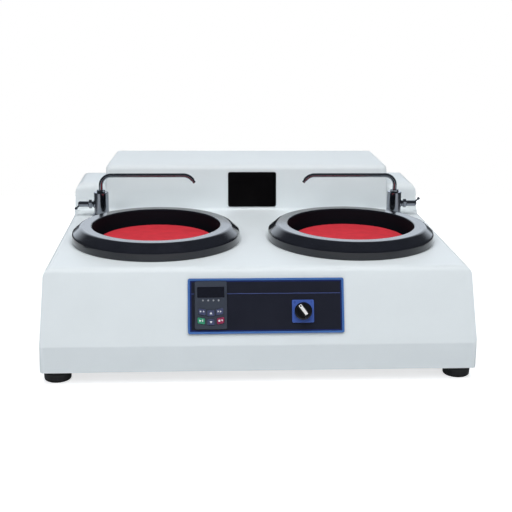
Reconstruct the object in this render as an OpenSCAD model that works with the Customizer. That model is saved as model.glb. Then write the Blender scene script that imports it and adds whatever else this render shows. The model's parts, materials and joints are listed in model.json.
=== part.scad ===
// Double-disc metallographic polishing machine, millimetres, +Z up.
// The origin is on the bench, under the middle of the machine.

/* [Housing] */
// Width of the housing at its foot
body_w = 700; // [680:2:740]
// Depth of the housing from skirt to rear wall
body_d = 590; // [580:2:620]
// Wall of the moulded housing
wall = 5; // [3:0.5:6]
// Height of the upright skirt under the sloping front
skirt_h = 43; // [36:1:56]
// Height of the sloping front between skirt and deck
face_h = 116; // [110:1:130]
// Angle of the sloping front from upright
face_tilt = 21.6; // [18:0.2:24]
// Angle by which the side walls lean in
side_draft = 2.4; // [1:0.2:4]
// Radius of the upright corners at the front
front_corner_r = 8; // [6:1:16]
// Radius of the upright corners at the rear
rear_corner_r = 20; // [8:1:26]
// Radius of the fold between skirt and sloping front
fold_r = 8; // [2:1:16]
// Radius of the deck's outer edges
deck_edge_r = 14; // [6:1:18]

/* [Rear block] */
// Depth of the centre block at the deck
block_d = 141; // [134:1:150]
// Width of the centre block at its front
block_w = 569; // [540:1:600]
// How much narrower each side of the centre block is at the back
block_taper = 17; // [0:1:24]
// Height of the centre block's front edge above the deck
block_front_h = 80; // [74:1:90]
// Height of the centre block's back edge above the deck
block_back_h = 99; // [92:1:110]
// Angle by which the front of the rear block leans back
block_lean = 9; // [4:0.5:12]
// Radius of the centre block's edges
block_edge_r = 13; // [4:1:16]
// Height of the shoulders above the deck
shoulder_h = 51; // [44:1:60]
// How far the shoulders stand behind the front of the centre block
shoulder_step = 8; // [4:1:14]
// Radius of the shoulders' edges
shoulder_edge_r = 18; // [6:1:22]
// Radius of the cove where deck and rear block meet
cove_r = 6; // [2:0.5:7]

/* [Base] */
// Height of the rubber feet
foot_h = 22; // [16:1:30]
// Diameter of a rubber foot
foot_d = 46; // [36:1:46]
// Distance of each foot's centre from the side of the housing
foot_in_x = 24; // [23:1:30]
// Distance of each foot's centre from the front and rear of the housing
foot_in_y = 33; // [28:1:45]
// Diameter of the foot bolts
foot_bolt_d = 8; // [6:1:10]
// Thickness of the base pan
base_t = 3; // [2:0.5:4]
// Thickness of the rear cover
cover_t = 2; // [1.5:0.5:3]
// Distance of the rear cover from the sides of the housing
cover_side = 65; // [55:1:75]
// Height of the rear cover
cover_h = 136; // [130:1:142]
// Overlap of the rear cover on the housing
cover_lap = 14; // [12:1:18]
// Diameter of the case screws
case_screw_d = 4; // [3:0.5:5]
// How far the rear fittings reach behind the housing
rear_reach = 20; // [18:1:30]

/* [Discs and rings] */
// Diameter of the polishing platens
disc_d = 200; // [190:1:205]
// How far each spindle lies inward of the middle of its half of the housing
disc_inset = 3; // [0:0.5:7]
// How far the spindles lie behind the middle between the front and the centre block
disc_setback = 0; // [-4:0.5:10]
// Height of the cloth above the deck
disc_level = 1; // [-2:0.5:4]
// Thickness of a platen
platen_t = 12; // [10:1:16]
// Diameter of the hub under a platen
hub_d = 60; // [50:1:64]
// Height of the hub under a platen
hub_h = 20; // [16:1:22]
// Thickness of a polishing cloth
cloth_t = 1.2; // [0.8:0.1:2]
// Outer diameter of a splash ring at the deck
ring_od = 295; // [288:1:300]
// Diameter of a splash ring's opening
ring_id = 227; // [220:1:232]
// Height of a splash ring's shoulder above the deck
ring_shoulder_h = 27.4; // [24:0.2:30]
// Width of a splash ring's sloping top
ring_crown_w = 14.5; // [8:0.5:18]
// Slope of a splash ring's top, which rises to its inner lip
ring_slope = 18; // [8:1:22]
// Height of the upright part of a splash ring's side
ring_side_h = 15.6; // [10:0.2:18]
// Wall of the splash rings
ring_wall = 3; // [2:0.5:4]
// Depth of a ring's inner skirt under the deck
ring_skirt = 8; // [4:1:14]
// Wall of the catch basins
basin_wall = 4; // [3:0.5:5]
// Depth of a basin's floor under the deck
basin_depth = 35; // [32:1:38]
// Diameter of the collar in the basin around the spindle
collar_d = 74; // [72:1:80]
// Height of that collar above the basin's floor
collar_h = 15; // [10:1:18]

/* [Drive] */
// Bore of the spindle bearings
bearing_id = 25; // [22:1:26]
// Outer diameter of the spindle bearings
bearing_od = 52; // [48:1:54]
// Width of the spindle bearings
bearing_w = 15; // [12:1:16]
// Outer diameter of the bearing housings
bearing_case_d = 68; // [64:1:70]
// Diameter of the flange of the bearing housings
bearing_flange_d = 112; // [106:1:120]
// Diameter of the spindle's shoulder
shoulder_d = 32; // [30:1:36]
// Diameter of the spindle's nose inside the hub
nose_d = 24; // [18:1:26]
// Diameter of the spindle's foot inside its pulley
spindle_foot_d = 20; // [16:1:21]
// Running diameter of the spindle pulleys
spindle_pulley_d = 90; // [80:1:100]
// Running diameter of the motor pulley
motor_pulley_d = 60; // [50:1:70]
// Width of the belts
belt_w = 12; // [9:1:13]
// Thickness of the belts
belt_t = 4; // [3:0.5:5]
// Height of one pulley groove with its rims
pulley_h = 16; // [15:1:18]
// Diameter of the motor's finned housing
motor_d = 96; // [90:1:100]
// Height of the motor's finned housing
motor_h = 118; // [100:1:125]
// Diameter of the motor's rotor
rotor_d = 56; // [50:1:60]
// Diameter of the motor's shaft
motor_shaft_d = 19; // [14:1:22]
// Thickness of the chassis plate
chassis_t = 4; // [3:0.5:6]
// Distance of the chassis plate from the sides of the housing
chassis_side = 40; // [30:1:45]
// Side of the chassis frame's square legs
leg_side = 30; // [24:1:36]
// Diameter of the chassis bolts
chassis_bolt_d = 6; // [5:0.5:8]
// Width of the speed drive box
drive_box_w = 80; // [70:1:90]
// Depth of the speed drive box
drive_box_d = 110; // [90:1:118]
// Height of the speed drive box
drive_box_h = 90; // [80:1:92]

/* [Water] */
// Distance of the taps from the sides of the housing
tap_side = 65; // [60:1:69]
// Distance of the taps in front of the centre block
tap_front = 49; // [43:1:55]
// Diameter of a tap column
tap_d = 28; // [24:1:32]
// Height of a tap column above the deck
tap_h = 47; // [42:1:54]
// Diameter of a tap's base flange
tap_flange_d = 36; // [33:1:42]
// Diameter of a spout tube
spout_d = 8; // [6:0.5:9]
// Height of a spout's level run above the deck
spout_h = 79.4; // [74:0.2:84]
// Radius of the bend above the column
spout_bend_r = 20; // [14:1:21]
// Length of a spout from its column to its down-turned end
spout_reach = 158; // [140:1:164]
// Radius of the down-turned end
spout_tip_r = 22; // [14:1:28]
// Angle of the down-turned end
spout_tip_angle = 55; // [30:1:80]
// Height of the valve above the deck
valve_h = 23.5; // [22:0.5:26]
// Diameter of the valve's turning barrel
barrel_d = 11; // [9:0.5:12]
// Length of the valve's turning barrel
barrel_l = 18; // [14:1:22]
// Length of the valve lever
lever_l = 13; // [10:1:16]
// Diameter of the ball on the lever
lever_ball_d = 6; // [5:0.5:7]
// Diameter of the tap's tail under the deck
tail_d = 12; // [10:1:14]
// Diameter of the water pipe inside
water_pipe_d = 16; // [14:1:18]
// Distance of the water pipe's axis under the deck
water_pipe_drop = 42; // [40:1:46]
// Diameter of the rear hose tail
hose_tail_d = 13; // [10:0.5:16]
// Outer diameter of the drain pipes
drain_d = 28; // [24:1:30]
// Diameter of the drain spigots behind the rear cover
drain_spigot_d = 32; // [29:1:36]
// Wall of the drain pipes
drain_wall = 2; // [1.5:0.5:3]
// Radius of the bend of the drain pipes
drain_bend_r = 20; // [18:1:24]
// Distance of the drain holes behind the spindles
drain_back = 86; // [80:1:90]

/* [Control panel] */
// Width of the control panel
panel_w = 249; // [240:1:260]
// Height of the control panel along the slope
panel_h = 88; // [86:1:92]
// Thickness of the control panel
panel_t = 2; // [1.5:0.5:3]
// Sideways place of the panel's centre
panel_x = 9; // [-10:1:20]
// Distance of the panel's centre from the skirt fold, up the slope
panel_up = 63; // [60:1:66]
// Width of the panel's blue border
trim_w = 4; // [2:0.5:5]
// Thickness of the panel's blue border
trim_t = 0.8; // [0.4:0.2:1.2]
// Distance of the thin line above the panel's centre
line_rise = 19; // [12:0.5:30]
// Width of the thin line across the panel
line_w = 1; // [0.6:0.2:2]
// Width of the keypad
keypad_w = 51; // [49:1:54]
// Height of the keypad
keypad_h = 76; // [74:1:78]
// How far the keypad stands out of the panel
keypad_t = 2.5; // [2:0.5:4]
// Distance of the keypad's centre above the panel's centre
keypad_rise = 1.4; // [0:0.1:1.8]
// Gap between the panel's left edge and the keypad
keypad_margin = 11; // [8:1:16]
// Width of the display window
window_w = 42.7; // [38:0.1:44]
// Height of the display window
window_h = 16.7; // [14:0.1:18]
// Width of a key
key_w = 11.6; // [10:0.2:12.4]
// Height of a key
key_h = 9.6; // [8:0.2:10.6]
// Distance between key columns
key_pitch_x = 13.8; // [13.4:0.2:14.2]
// Distance between key rows
key_pitch_y = 14.2; // [13:0.2:15]
// How far a key stands out of the keypad
key_proud = 1.2; // [0.8:0.1:2]
// Travel of a key
key_travel = 0.8; // [0.5:0.1:1]
// Width of the switch plate
switch_plate_w = 35; // [33:1:40]
// Height of the switch plate
switch_plate_h = 36.4; // [34:0.2:40]
// Thickness of the switch plate
switch_plate_t = 2.5; // [1.5:0.5:4]
// Gap between the panel's right edge and the switch plate
switch_margin = 48.5; // [40:0.5:60]
// Distance of the switch's axis below the panel's centre
switch_drop = 9.3; // [5:0.1:12]
// Diameter of the switch knob
knob_d = 28; // [24:1:32]
// Height of the knob's round base
knob_base_h = 7; // [5:0.5:10]
// Height of the knob's grip bar
knob_grip_h = 8; // [5:0.5:12]
// Width of the knob's grip bar
knob_grip_w = 9; // [8:0.5:11]
// Length of the knob's white pointer
pointer_l = 21; // [14:0.5:22]
// Angle of the knob's pointer, left of upright, at rest
knob_rest = 36; // [0:1:45]
// Side of the square contact block behind the panel
switch_body_side = 36; // [32:1:38]
// Depth of the contact block
switch_body_d = 42; // [30:1:50]
// Width of the plaque on the centre block
plaque_w = 96; // [80:1:110]
// Height of the plaque
plaque_h = 69; // [60:0.5:72]
// Thickness of the plaque
plaque_t = 2; // [1:0.5:3]

/* [Clearances] */
// Radial clearance of running fits
run_gap = 0.05; // [0.02:0.01:0.1]
// Clearance between parts that are put together
slip = 0.2; // [0.1:0.05:0.3]
// Gap between parts that pass each other
pass_gap = 0.5; // [0.3:0.1:0.8]
// Film under the panel, the plaque and the drain collars
film = 0.05; // [0.02:0.01:0.2]

/* [Hidden] */
$fn = 64;
arc_steps = 6;
cut = 1;

// Heights
base_top = foot_h + base_t;
skirt_z = foot_h + skirt_h;
deck_z = skirt_z + face_h;
cloth_top = deck_z + disc_level;
platen_top = cloth_top - cloth_t;
platen_under = platen_top - platen_t;
hub_under = platen_under - hub_h;
nut_h = 6;
end_gap = 5;
rim_gap = 6;
low_belt_z = base_top + end_gap + nut_h + pulley_h / 2;
high_belt_z = low_belt_z + pulley_h;
chassis_under = high_belt_z + pulley_h / 2 + rim_gap;
chassis_top = chassis_under + chassis_t;

// How far the grip of the switch knob reaches in front of the skirt
switch_up = panel_up - switch_drop;
knob_out = panel_t + switch_plate_t + pass_gap;
knob_edge = 1.5;
grip_low = (knob_d / 2 - knob_edge) * cos(knob_rest) + knob_grip_w / 2 * sin(knob_rest);
grip_out = film + knob_out + knob_base_h + knob_grip_h;
grip_front = grip_out * cos(face_tilt) - (switch_up - grip_low) * sin(face_tilt);
front_reach = max(0, grip_front);

// Depths, from front to rear
y_front = (front_reach - body_d - rear_reach) / 2;
y_back = y_front + body_d;
y_end = y_back + rear_reach;
y_deck = y_front + face_h * tan(face_tilt);
y_block = y_back - block_d;
y_shoulder = y_block + shoulder_step;
y_disc = (y_front + y_block) / 2 + disc_setback;
y_tap = y_block - tap_front;
y_cover = y_back + cover_t;

// Spindle group
disc_x = body_w / 4 - disc_inset;
bearing_flange_h = 8;
bearing_lip = 2;
seal_h = 6;
seal_seat = 1;
case_gap = 4;
case_top = hub_under - case_gap;
seal_z = case_top - seal_seat - seal_h;
upper_bearing_z = seal_z - seal_seat - bearing_w;
lower_bearing_z = chassis_top + bearing_lip;
nose_l = 22;
nose_room = 1;
collar_wall = 3.5;
bolt_points = [45:90:315];
hex_ratio = 1.75;
head_ratio = 0.6;

// Motor group
motor_wall_gap = 8;
y_motor = y_back - wall - motor_wall_gap - motor_d / 2;
motor_fin = 4;
motor_flange_h = 6;
motor_neck_h = 14;
motor_neck_step = 8;
motor_neck_d = motor_d - 2 * motor_neck_step;
motor_cap_h = 16;
motor_body_z = chassis_top + motor_flange_h + motor_neck_h;
motor_top = motor_body_z + motor_h + motor_cap_h;
bolt_room = 2;
motor_bolt_r = motor_neck_d / 2 + chassis_bolt_d + bolt_room;
motor_flange_d = 2 * (motor_bolt_r + chassis_bolt_d - bolt_room);
rotor_gap = 0.5;

// Front panel group, measured up the slope and out of it
keypad_x = panel_x - panel_w / 2 + keypad_margin + keypad_w / 2;
keypad_up = panel_up + keypad_rise;
keypad_front = panel_t + keypad_t;
keypad_skin = 2;
keypad_lip = 1.5;
keypad_box_w = keypad_w - 2 * keypad_lip;
keypad_box_h = keypad_h - 4 * keypad_lip;
keypad_box_d = 14;
keypad_box_wall = 2;
key_room = 0.2;
key_back = -2;
board_t = 1.6;
board_front = key_back - key_travel - key_room;
key_rows_drop = 12.8;
key_rows_up = keypad_up - key_rows_drop;
key_outer_rise = 2.3;
key_slant = 1.2;
key_spread = 1.5;
key_corner_r = 2;
lamp_r = 1.3;
lamp_pitch = 8.3;
lamp_rise = 7.6;
lamp_up = keypad_up + lamp_rise;
lamp_proud = 0.4;
window_rise = 20.5;
window_up = keypad_up + window_rise;
window_t = 0.9;
window_proud = 0.1;
line_up = panel_up + line_rise;
panel_corner_r = 3;
inner_corner_r = 1;
switch_x = panel_x + panel_w / 2 - switch_margin - switch_plate_w / 2;
switch_shaft_d = 6;
switch_neck_d = 20;
switch_shaft_in = 10;
switch_corner_r = 2;
shaft_end_gap = 1;
pointer_w = 5;
pointer_t = 0.6;
pointer_proud = 0.1;
pointer_shift = 2;
plaque_x = panel_x;
plaque_up = cove_r + plaque_h / 2;
plaque_corner_r = 4;

// Tap group, measured from the tap's foot on the deck
tap_x = body_w / 2 - tap_side;
tap_flange_h = 4;
socket_depth = 24;
gland_h = 5;
gland_d = 16;
bonnet_d = 17;
bonnet_h = 6;
port_l = 4;
bonnet_out = tap_d / 2 + port_l;
barrel_out = bonnet_out + bonnet_h + pass_gap;
stem_d = 6;
stem_in = 8;
stem_gap = 2;
stem_bite = 1;
lever_d = 3.2;
open_swing = 150;
shut_swing = 0;
tail_l = water_pipe_drop - water_pipe_d / 2;
lock_nut_h = 8;
lock_nut_d = 24;

// Rear fittings
drain_stub_h = 14;
stub_room = 2;
drain_z = deck_z - basin_depth - basin_wall - drain_stub_h - stub_room - drain_bend_r;
drain_y = y_disc + drain_back;
drain_lip = 5;
drain_collar_d = drain_spigot_d + 2 * drain_lip;
spigot_step = 2;
spigot_start = y_cover + spigot_step;
cover_w = body_w - 2 * cover_side;
inlet_out = 58;
inlet_x = -(disc_x + inlet_out);
inlet_z = deck_z - water_pipe_drop;
inlet_nut_h = 5;
inlet_nut_d = 24;
inlet_stub_l = 12;
inlet_end_gap = 2;
pipe_wall = 2.5;
gland_in = 29;
gland_x = cover_w / 2 - cover_lap - gland_in;
gland_z = drain_z;
gland_bore_d = 9;
gland_nut_d = 24;
gland_nut_h = 14;
gland_thread_d = 16;
gland_inside = 12;
gland_flange_h = 4;
gland_lock_h = 6;
gland_lip = 2;
cover_rise = 16;
cover_z = foot_h + cover_rise;
cover_corner_r = 6;

// Fastener places
screw_head_h = 2.4;
screw_head_r = case_screw_d;
boss_wall = 5;
boss_r = case_screw_d / 2 + boss_wall;
boss_h = 24;
boss_cap = 3;
boss_bite = 2;
boss_screw_l = 16;
boss_end = 110;
boss_y = [y_front + boss_end, y_front + body_d / 2, y_back - boss_end];
foot_x = body_w / 2 - foot_in_x;
foot_y = [y_front + foot_in_y, y_back - foot_in_y];
foot_seat = 10;
chassis_w = body_w - 2 * chassis_side;
leg_x = chassis_w / 2 - leg_side / 2;
chassis_lap = 58;
chassis_room = 4;
chassis_front = y_disc - bearing_flange_d / 2 - chassis_lap;
chassis_back = y_back - wall - chassis_room;
leg_y = [chassis_front + leg_side / 2, chassis_back - leg_side / 2];
bearing_bolt_r = bearing_case_d / 4 + bearing_flange_d / 4;
leg_bolt_in = 12;
drive_shift = 12;
pipe_room = 20;
drive_box_x = leg_x - leg_side / 2 - drive_box_w / 2 + drive_shift;
drive_box_y = y_tap + water_pipe_d / 2 + pipe_room + drive_box_d / 2;

// Outlines: a corner is [across, up, radius], and corners run anticlockwise

function corner_point(c, i) = [c[(i + len(c)) % len(c)][0], c[(i + len(c)) % len(c)][1]];
function heading(a, b) = (b - a) / norm(b - a);
function left_of(u) = [-u[1], u[0]];
function turn_of(u, v) = atan2(u[0] * v[1] - u[1] * v[0], u * v);

function corner_arc(p, u, v, r) =
    let (turn = turn_of(u, v))
    let (centre_way = sign(turn) * left_of(u))
    let (centre = p - u * r * tan(abs(turn) / 2) + centre_way * r)
    let (start = atan2(-centre_way[1], -centre_way[0]))
    r <= 0 ? [p] : [for (k = [0:arc_steps])
        centre + r * [cos(start + turn * k / arc_steps), sin(start + turn * k / arc_steps)]];

function rounded(c) = [for (i = [0:len(c) - 1])
    each corner_arc(corner_point(c, i),
        heading(corner_point(c, i - 1), corner_point(c, i)),
        heading(corner_point(c, i), corner_point(c, i + 1)), c[i][2])];

function inset_corner(p, u, v, r, t) =
    let (turn = turn_of(u, v))
    let (q = p + left_of(u) * t - u * t * (1 - cos(turn)) / sin(turn))
    [q[0], q[1], r <= 0 ? 0 : max(r - sign(turn) * t, 0)];

function inset(c, t) = t == 0 ? c : [for (i = [0:len(c) - 1])
    inset_corner(corner_point(c, i),
        heading(corner_point(c, i - 1), corner_point(c, i)),
        heading(corner_point(c, i), corner_point(c, i + 1)), c[i][2], t)];

function box_corners(w, h, r) = [
    [-w / 2, -h / 2, r],
    [w / 2, -h / 2, r],
    [w / 2, h / 2, r],
    [-w / 2, h / 2, r]];

// The two outer tangents of two circles in a row make a belt's loop
function loop_points(gap, r_near, r_far, steps) =
    let (lean = asin((r_near - r_far) / gap))
    concat(
        [for (k = [0:steps])
            let (a = 90 - lean + (180 + 2 * lean) * k / steps)
            r_near * [cos(a), sin(a)]],
        [for (k = [0:steps])
            let (a = -90 + lean + (180 - 2 * lean) * k / steps)
            [gap, 0] + r_far * [cos(a), sin(a)]]);

// Placing

module along_x(w) {
    rotate([90, 0, 90]) linear_extrude(w, center = true) children();
}

module along_y(from, to) {
    translate([0, to, 0]) rotate([90, 0, 0]) linear_extrude(to - from) children();
}

module on_face(x, up, out) {
    translate([x, y_front, skirt_z]) rotate([90 - face_tilt, 0, 0]) translate([0, up, out + film]) children();
}

module on_block(x, up, out) {
    translate([x, y_block, deck_z]) rotate([90 - block_lean, 0, 0]) translate([0, up, out + film]) children();
}

module at_disc(side) {
    translate([side * disc_x, y_disc, 0]) children();
}

// Drawn with its spout towards +X, so the right one is mirrored
module at_tap(side) {
    translate([side * tap_x, y_tap, deck_z]) mirror([side > 0 ? 1 : 0, 0, 0]) children();
}

module pointing_y(x, y, z) {
    translate([x, y, z]) rotate([-90, 0, 0]) children();
}

// A round hole that starts a little under z = 0 and leaves a little above h
module drill(d, h) {
    translate([0, 0, -cut]) cylinder(d = d, h = h + 2 * cut);
}

module plate(w, h, t, r) {
    linear_extrude(t) polygon(rounded(box_corners(w, h, r)));
}

module tube(d_out, d_in, h) {
    difference() {
        cylinder(d = d_out, h = h);
        drill(d_in, h);
    }
}

module elbow(d, r, angle) {
    rotate_extrude(angle = angle) translate([r, 0]) circle(d = d);
}

module hex(d, h) {
    cylinder(d = d, h = h, $fn = 6);
}

module hex_nut(d, bore, h) {
    difference() {
        hex(d, h);
        drill(bore, h);
    }
}

// Housing form: the outer skin at t = 0, the inside at t = wall

toe_room = 2;
hole_room = 2;

function half_width(z) = body_w / 2 - (z - foot_h) * tan(side_draft);
function foot_line(t) = t == 0 ? foot_h : foot_h - t - cut;

function low_side(t) = inset([
    [y_front, foot_line(t), 0],
    [y_back, foot_line(t), 0],
    [y_back, deck_z, 0],
    [y_deck, deck_z, deck_edge_r],
    [y_front, skirt_z, fold_r]], t);

function front_view(top, r, t) = inset([
    [-half_width(foot_line(t)), foot_line(t), 0],
    [half_width(foot_line(t)), foot_line(t), 0],
    [half_width(top), top, r],
    [-half_width(top), top, r]], t);

function rear_side(y, front_top, back_top, r, t) =
    let (toe = cove_r + toe_room)
    let (root = deck_z - 3 * wall)
    inset([
        [y - toe, root, 0],
        [y_back, root, 0],
        [y_back, back_top, r],
        [y + (front_top - deck_z) * tan(block_lean), front_top, r],
        [y, deck_z, cove_r],
        [y - toe, deck_z - cut, 0]], t);

function body_plan(t) = inset([
    [-body_w / 2, y_front, front_corner_r],
    [body_w / 2, y_front, front_corner_r],
    [body_w / 2, y_back, rear_corner_r],
    [-body_w / 2, y_back, rear_corner_r]], t);

function block_plan(t) = inset([
    [-block_w / 2, y_block - 3 * cove_r, block_edge_r],
    [block_w / 2, y_block - 3 * cove_r, block_edge_r],
    [block_w / 2 - block_taper, y_back, block_edge_r],
    [-block_w / 2 + block_taper, y_back, block_edge_r]], t);

module low_block(t) {
    intersection() {
        along_x(body_w) polygon(rounded(low_side(t)));
        along_y(y_front - cut, y_back + cut) polygon(rounded(front_view(deck_z, deck_edge_r, t)));
    }
}

module shoulder_block(t) {
    top = deck_z + shoulder_h;
    intersection() {
        along_x(body_w) polygon(rounded(rear_side(y_shoulder, top, top, shoulder_edge_r, t)));
        along_y(y_front, y_back + cut) polygon(rounded(front_view(top, shoulder_edge_r, t)));
    }
}

module centre_block(t) {
    front_top = deck_z + block_front_h;
    back_top = deck_z + block_back_h;
    intersection() {
        along_x(block_w) polygon(rounded(rear_side(y_block, front_top, back_top, block_edge_r, t)));
        linear_extrude(back_top + cut) polygon(rounded(block_plan(t)));
    }
}

module housing_form(t) {
    intersection() {
        union() {
            low_block(t);
            shoulder_block(t);
            centre_block(t);
        }
        translate([0, 0, -cut]) linear_extrude(deck_z + block_back_h + 2 * cut) polygon(rounded(body_plan(t)));
    }
}

module boss_places() {
    x = half_width(base_top + boss_h) - wall - boss_r + boss_bite;
    for (side = [-1, 1], y = boss_y) translate([side * x, y, 0]) children();
}

module cover_screw_places() {
    margin = cover_lap / 2;
    for (side = [-1, 1], row = [0, 1], column = [0.34, 1])
        pointing_y(side * column * (cover_w / 2 - margin), y_back,
            cover_z + margin + row * (cover_h - 2 * margin)) children();
}

module housing() {
    hole_r = ring_id / 2 + ring_wall + basin_wall + slip + pass_gap + hole_room;
    window_w_cut = panel_w - 2 * (keypad_margin + keypad_lip - pass_gap);
    window_h_cut = keypad_box_h + 2 * (keypad_up - panel_up + pass_gap);
    open_w = cover_w - 2 * cover_lap;
    open_h = cover_h - 2 * cover_lap;
    screw_hole_d = case_screw_d + 2 * run_gap;
    color("whitesmoke") difference() {
        union() {
            difference() {
                housing_form(0);
                housing_form(wall);
            }
            boss_places() translate([0, 0, base_top]) cylinder(r = boss_r, h = boss_h);
        }
        for (side = [-1, 1]) {
            at_disc(side) translate([0, 0, deck_z - 2 * wall]) cylinder(r = hole_r, h = 3 * wall);
            translate([side * tap_x, y_tap, deck_z - wall]) drill(tail_d + 2 * pass_gap, wall);
        }
        on_face(panel_x, panel_up, -3 * wall) plate(window_w_cut, window_h_cut, 4 * wall, inner_corner_r);
        translate([-open_w / 2, y_back - 2 * wall, cover_z + cover_lap]) cube([open_w, 3 * wall, open_h]);
        boss_places() translate([0, 0, base_top]) drill(screw_hole_d, boss_h - boss_cap);
        cover_screw_places() translate([0, 0, -wall]) drill(screw_hole_d, wall);
    }
}

// Base, rear cover and their fasteners

module foot_places() {
    for (side = [-1, 1], y = foot_y) translate([side * foot_x, y, 0]) children();
}

module leg_places() {
    for (side = [-1, 1], y = leg_y) translate([side * leg_x, y, 0]) children();
}

module base_pan() {
    edge = wall + pass_gap;
    shrink = base_t * tan(side_draft);
    color("gainsboro") difference() {
        translate([0, 0, foot_h]) linear_extrude(base_t)
            polygon(rounded(inset(body_plan(0), edge + shrink)));
        foot_places() translate([0, 0, foot_h]) drill(foot_bolt_d + 2 * slip, base_t);
        leg_places() translate([0, 0, foot_h]) drill(chassis_bolt_d + 2 * slip, base_t);
        boss_places() translate([0, 0, foot_h]) drill(case_screw_d + 2 * slip, base_t);
    }
}

module pan_head_screw(d, length) {
    translate([0, 0, -length]) cylinder(d = d, h = length);
    cylinder(r = screw_head_r, h = screw_head_h);
}

module case_screws() {
    color("silver") {
        boss_places() translate([0, 0, foot_h]) mirror([0, 0, 1])
            pan_head_screw(case_screw_d, base_t + boss_screw_l);
        cover_screw_places() translate([0, 0, cover_t]) pan_head_screw(case_screw_d, cover_t + wall);
    }
}

module rubber_feet() {
    taper = 1.5;
    low_r = 3;
    high_r = 1.5;
    r = foot_d / 2;
    color("#202022") foot_places() difference() {
        rotate_extrude() polygon(rounded([
            [0, 0, 0],
            [r - taper, 0, low_r],
            [r, foot_h, high_r],
            [0, foot_h, 0]]));
        translate([0, 0, -cut]) cylinder(r = foot_bolt_d, h = foot_seat + cut);
        drill(foot_bolt_d + 2 * slip, foot_h);
    }
}

module foot_bolts() {
    head_h = head_ratio * foot_bolt_d;
    head_d = hex_ratio * foot_bolt_d;
    color("silver") foot_places() {
        translate([0, 0, foot_seat]) cylinder(d = foot_bolt_d, h = base_top + 2 * head_h - foot_seat);
        translate([0, 0, foot_seat - head_h]) hex(head_d, head_h);
        translate([0, 0, base_top]) hex_nut(head_d, foot_bolt_d, head_h);
    }
}

module rear_cover() {
    louvre_w = 46;
    louvre_h = 4;
    louvre_rows = 5;
    louvre_step = 9;
    louvre_pitch = 64;
    cover_mid = cover_z + cover_h / 2;
    first_row = cover_mid - (louvre_rows - 1) / 2 * louvre_step;
    color("whitesmoke") difference() {
        translate([0, y_cover, cover_mid]) rotate([90, 0, 0])
            plate(cover_w, cover_h, cover_t, cover_corner_r);
        for (side = [-1, 1])
            pointing_y(side * disc_x, y_back, drain_z) drill(drain_spigot_d + 2 * slip, cover_t);
        pointing_y(inlet_x, y_back, inlet_z) drill(water_pipe_d + 2 * slip, cover_t);
        pointing_y(gland_x, y_back, gland_z) drill(gland_thread_d + 2 * slip, cover_t);
        for (column = [-1, 0, 1], row = [0:louvre_rows - 1])
            translate([column * louvre_pitch - louvre_w / 2, y_back - cut, first_row + row * louvre_step])
                cube([louvre_w, cover_t + 2 * cut, louvre_h]);
        cover_screw_places() drill(case_screw_d + 2 * slip, cover_t);
    }
}

// Chassis frame with its bolts

module bearing_bolt_places() {
    for (side = [-1, 1], a = bolt_points)
        at_disc(side) rotate(a) translate([bearing_bolt_r, 0, chassis_top + bearing_flange_h]) children();
}

module motor_bolt_places() {
    for (a = bolt_points)
        translate([0, y_motor, chassis_top + motor_flange_h]) rotate(a)
            translate([motor_bolt_r, 0, 0]) children();
}

module chassis_frame() {
    plate_d = chassis_back - chassis_front;
    shaft_room = 10;
    bearing_rest = 3;
    bolt_hole_d = chassis_bolt_d + 2 * run_gap;
    color("lightslategray") difference() {
        union() {
            translate([-chassis_w / 2, chassis_front, chassis_under]) cube([chassis_w, plate_d, chassis_t]);
            leg_places() translate([-leg_side / 2, -leg_side / 2, base_top])
                cube([leg_side, leg_side, chassis_under - base_top + chassis_t / 2]);
        }
        for (side = [-1, 1])
            at_disc(side) translate([0, 0, chassis_under]) drill(bearing_od - 2 * bearing_rest, chassis_t);
        translate([0, y_motor, chassis_under]) drill(motor_shaft_d + 2 * shaft_room, chassis_t);
        leg_places() translate([0, 0, base_top]) drill(bolt_hole_d, leg_bolt_in + shaft_end_gap);
        bearing_bolt_places() mirror([0, 0, 1]) drill(bolt_hole_d, bearing_flange_h + chassis_t);
        motor_bolt_places() mirror([0, 0, 1]) drill(bolt_hole_d, motor_flange_h + chassis_t);
    }
}

module hex_bolt(d, length) {
    translate([0, 0, -length]) cylinder(d = d, h = length);
    hex(hex_ratio * d, head_ratio * d);
}

module chassis_bolts() {
    color("silver") {
        bearing_bolt_places() hex_bolt(chassis_bolt_d, bearing_flange_h + chassis_t);
        motor_bolt_places() hex_bolt(chassis_bolt_d, motor_flange_h + chassis_t);
        leg_places() translate([0, 0, foot_h]) mirror([0, 0, 1]) hex_bolt(chassis_bolt_d, base_t + leg_bolt_in);
    }
}

// Splash rings, basins and drains

module splash_ring(side) {
    r_out = ring_od / 2;
    r_in = ring_id / 2;
    crown_r = r_in + ring_crown_w;
    lip_z = ring_shoulder_h + ring_crown_w * tan(ring_slope);
    under_z = lip_z - ring_wall * tan(ring_slope) - ring_wall / cos(ring_slope);
    lean = 1.5;
    inside_bend = 4;
    side_bend = 4;
    crown_bend = 5;
    lip_bend = 5;
    outline = [
        [r_in, -ring_skirt, 0],
        [r_in + ring_wall, -ring_skirt, 0],
        [r_in + ring_wall, under_z, 0],
        [crown_r - ring_wall / 3, ring_shoulder_h - ring_wall, inside_bend],
        [r_out - ring_wall - lean, ring_side_h - ring_wall / 2, inside_bend],
        [r_out - ring_wall, 0, 0],
        [r_out, 0, 0],
        [r_out - lean, ring_side_h, side_bend],
        [crown_r, ring_shoulder_h, crown_bend],
        [r_in, lip_z, lip_bend]];
    color("#17171c") at_disc(side) translate([0, 0, deck_z]) rotate_extrude() polygon(rounded(outline));
}

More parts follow.
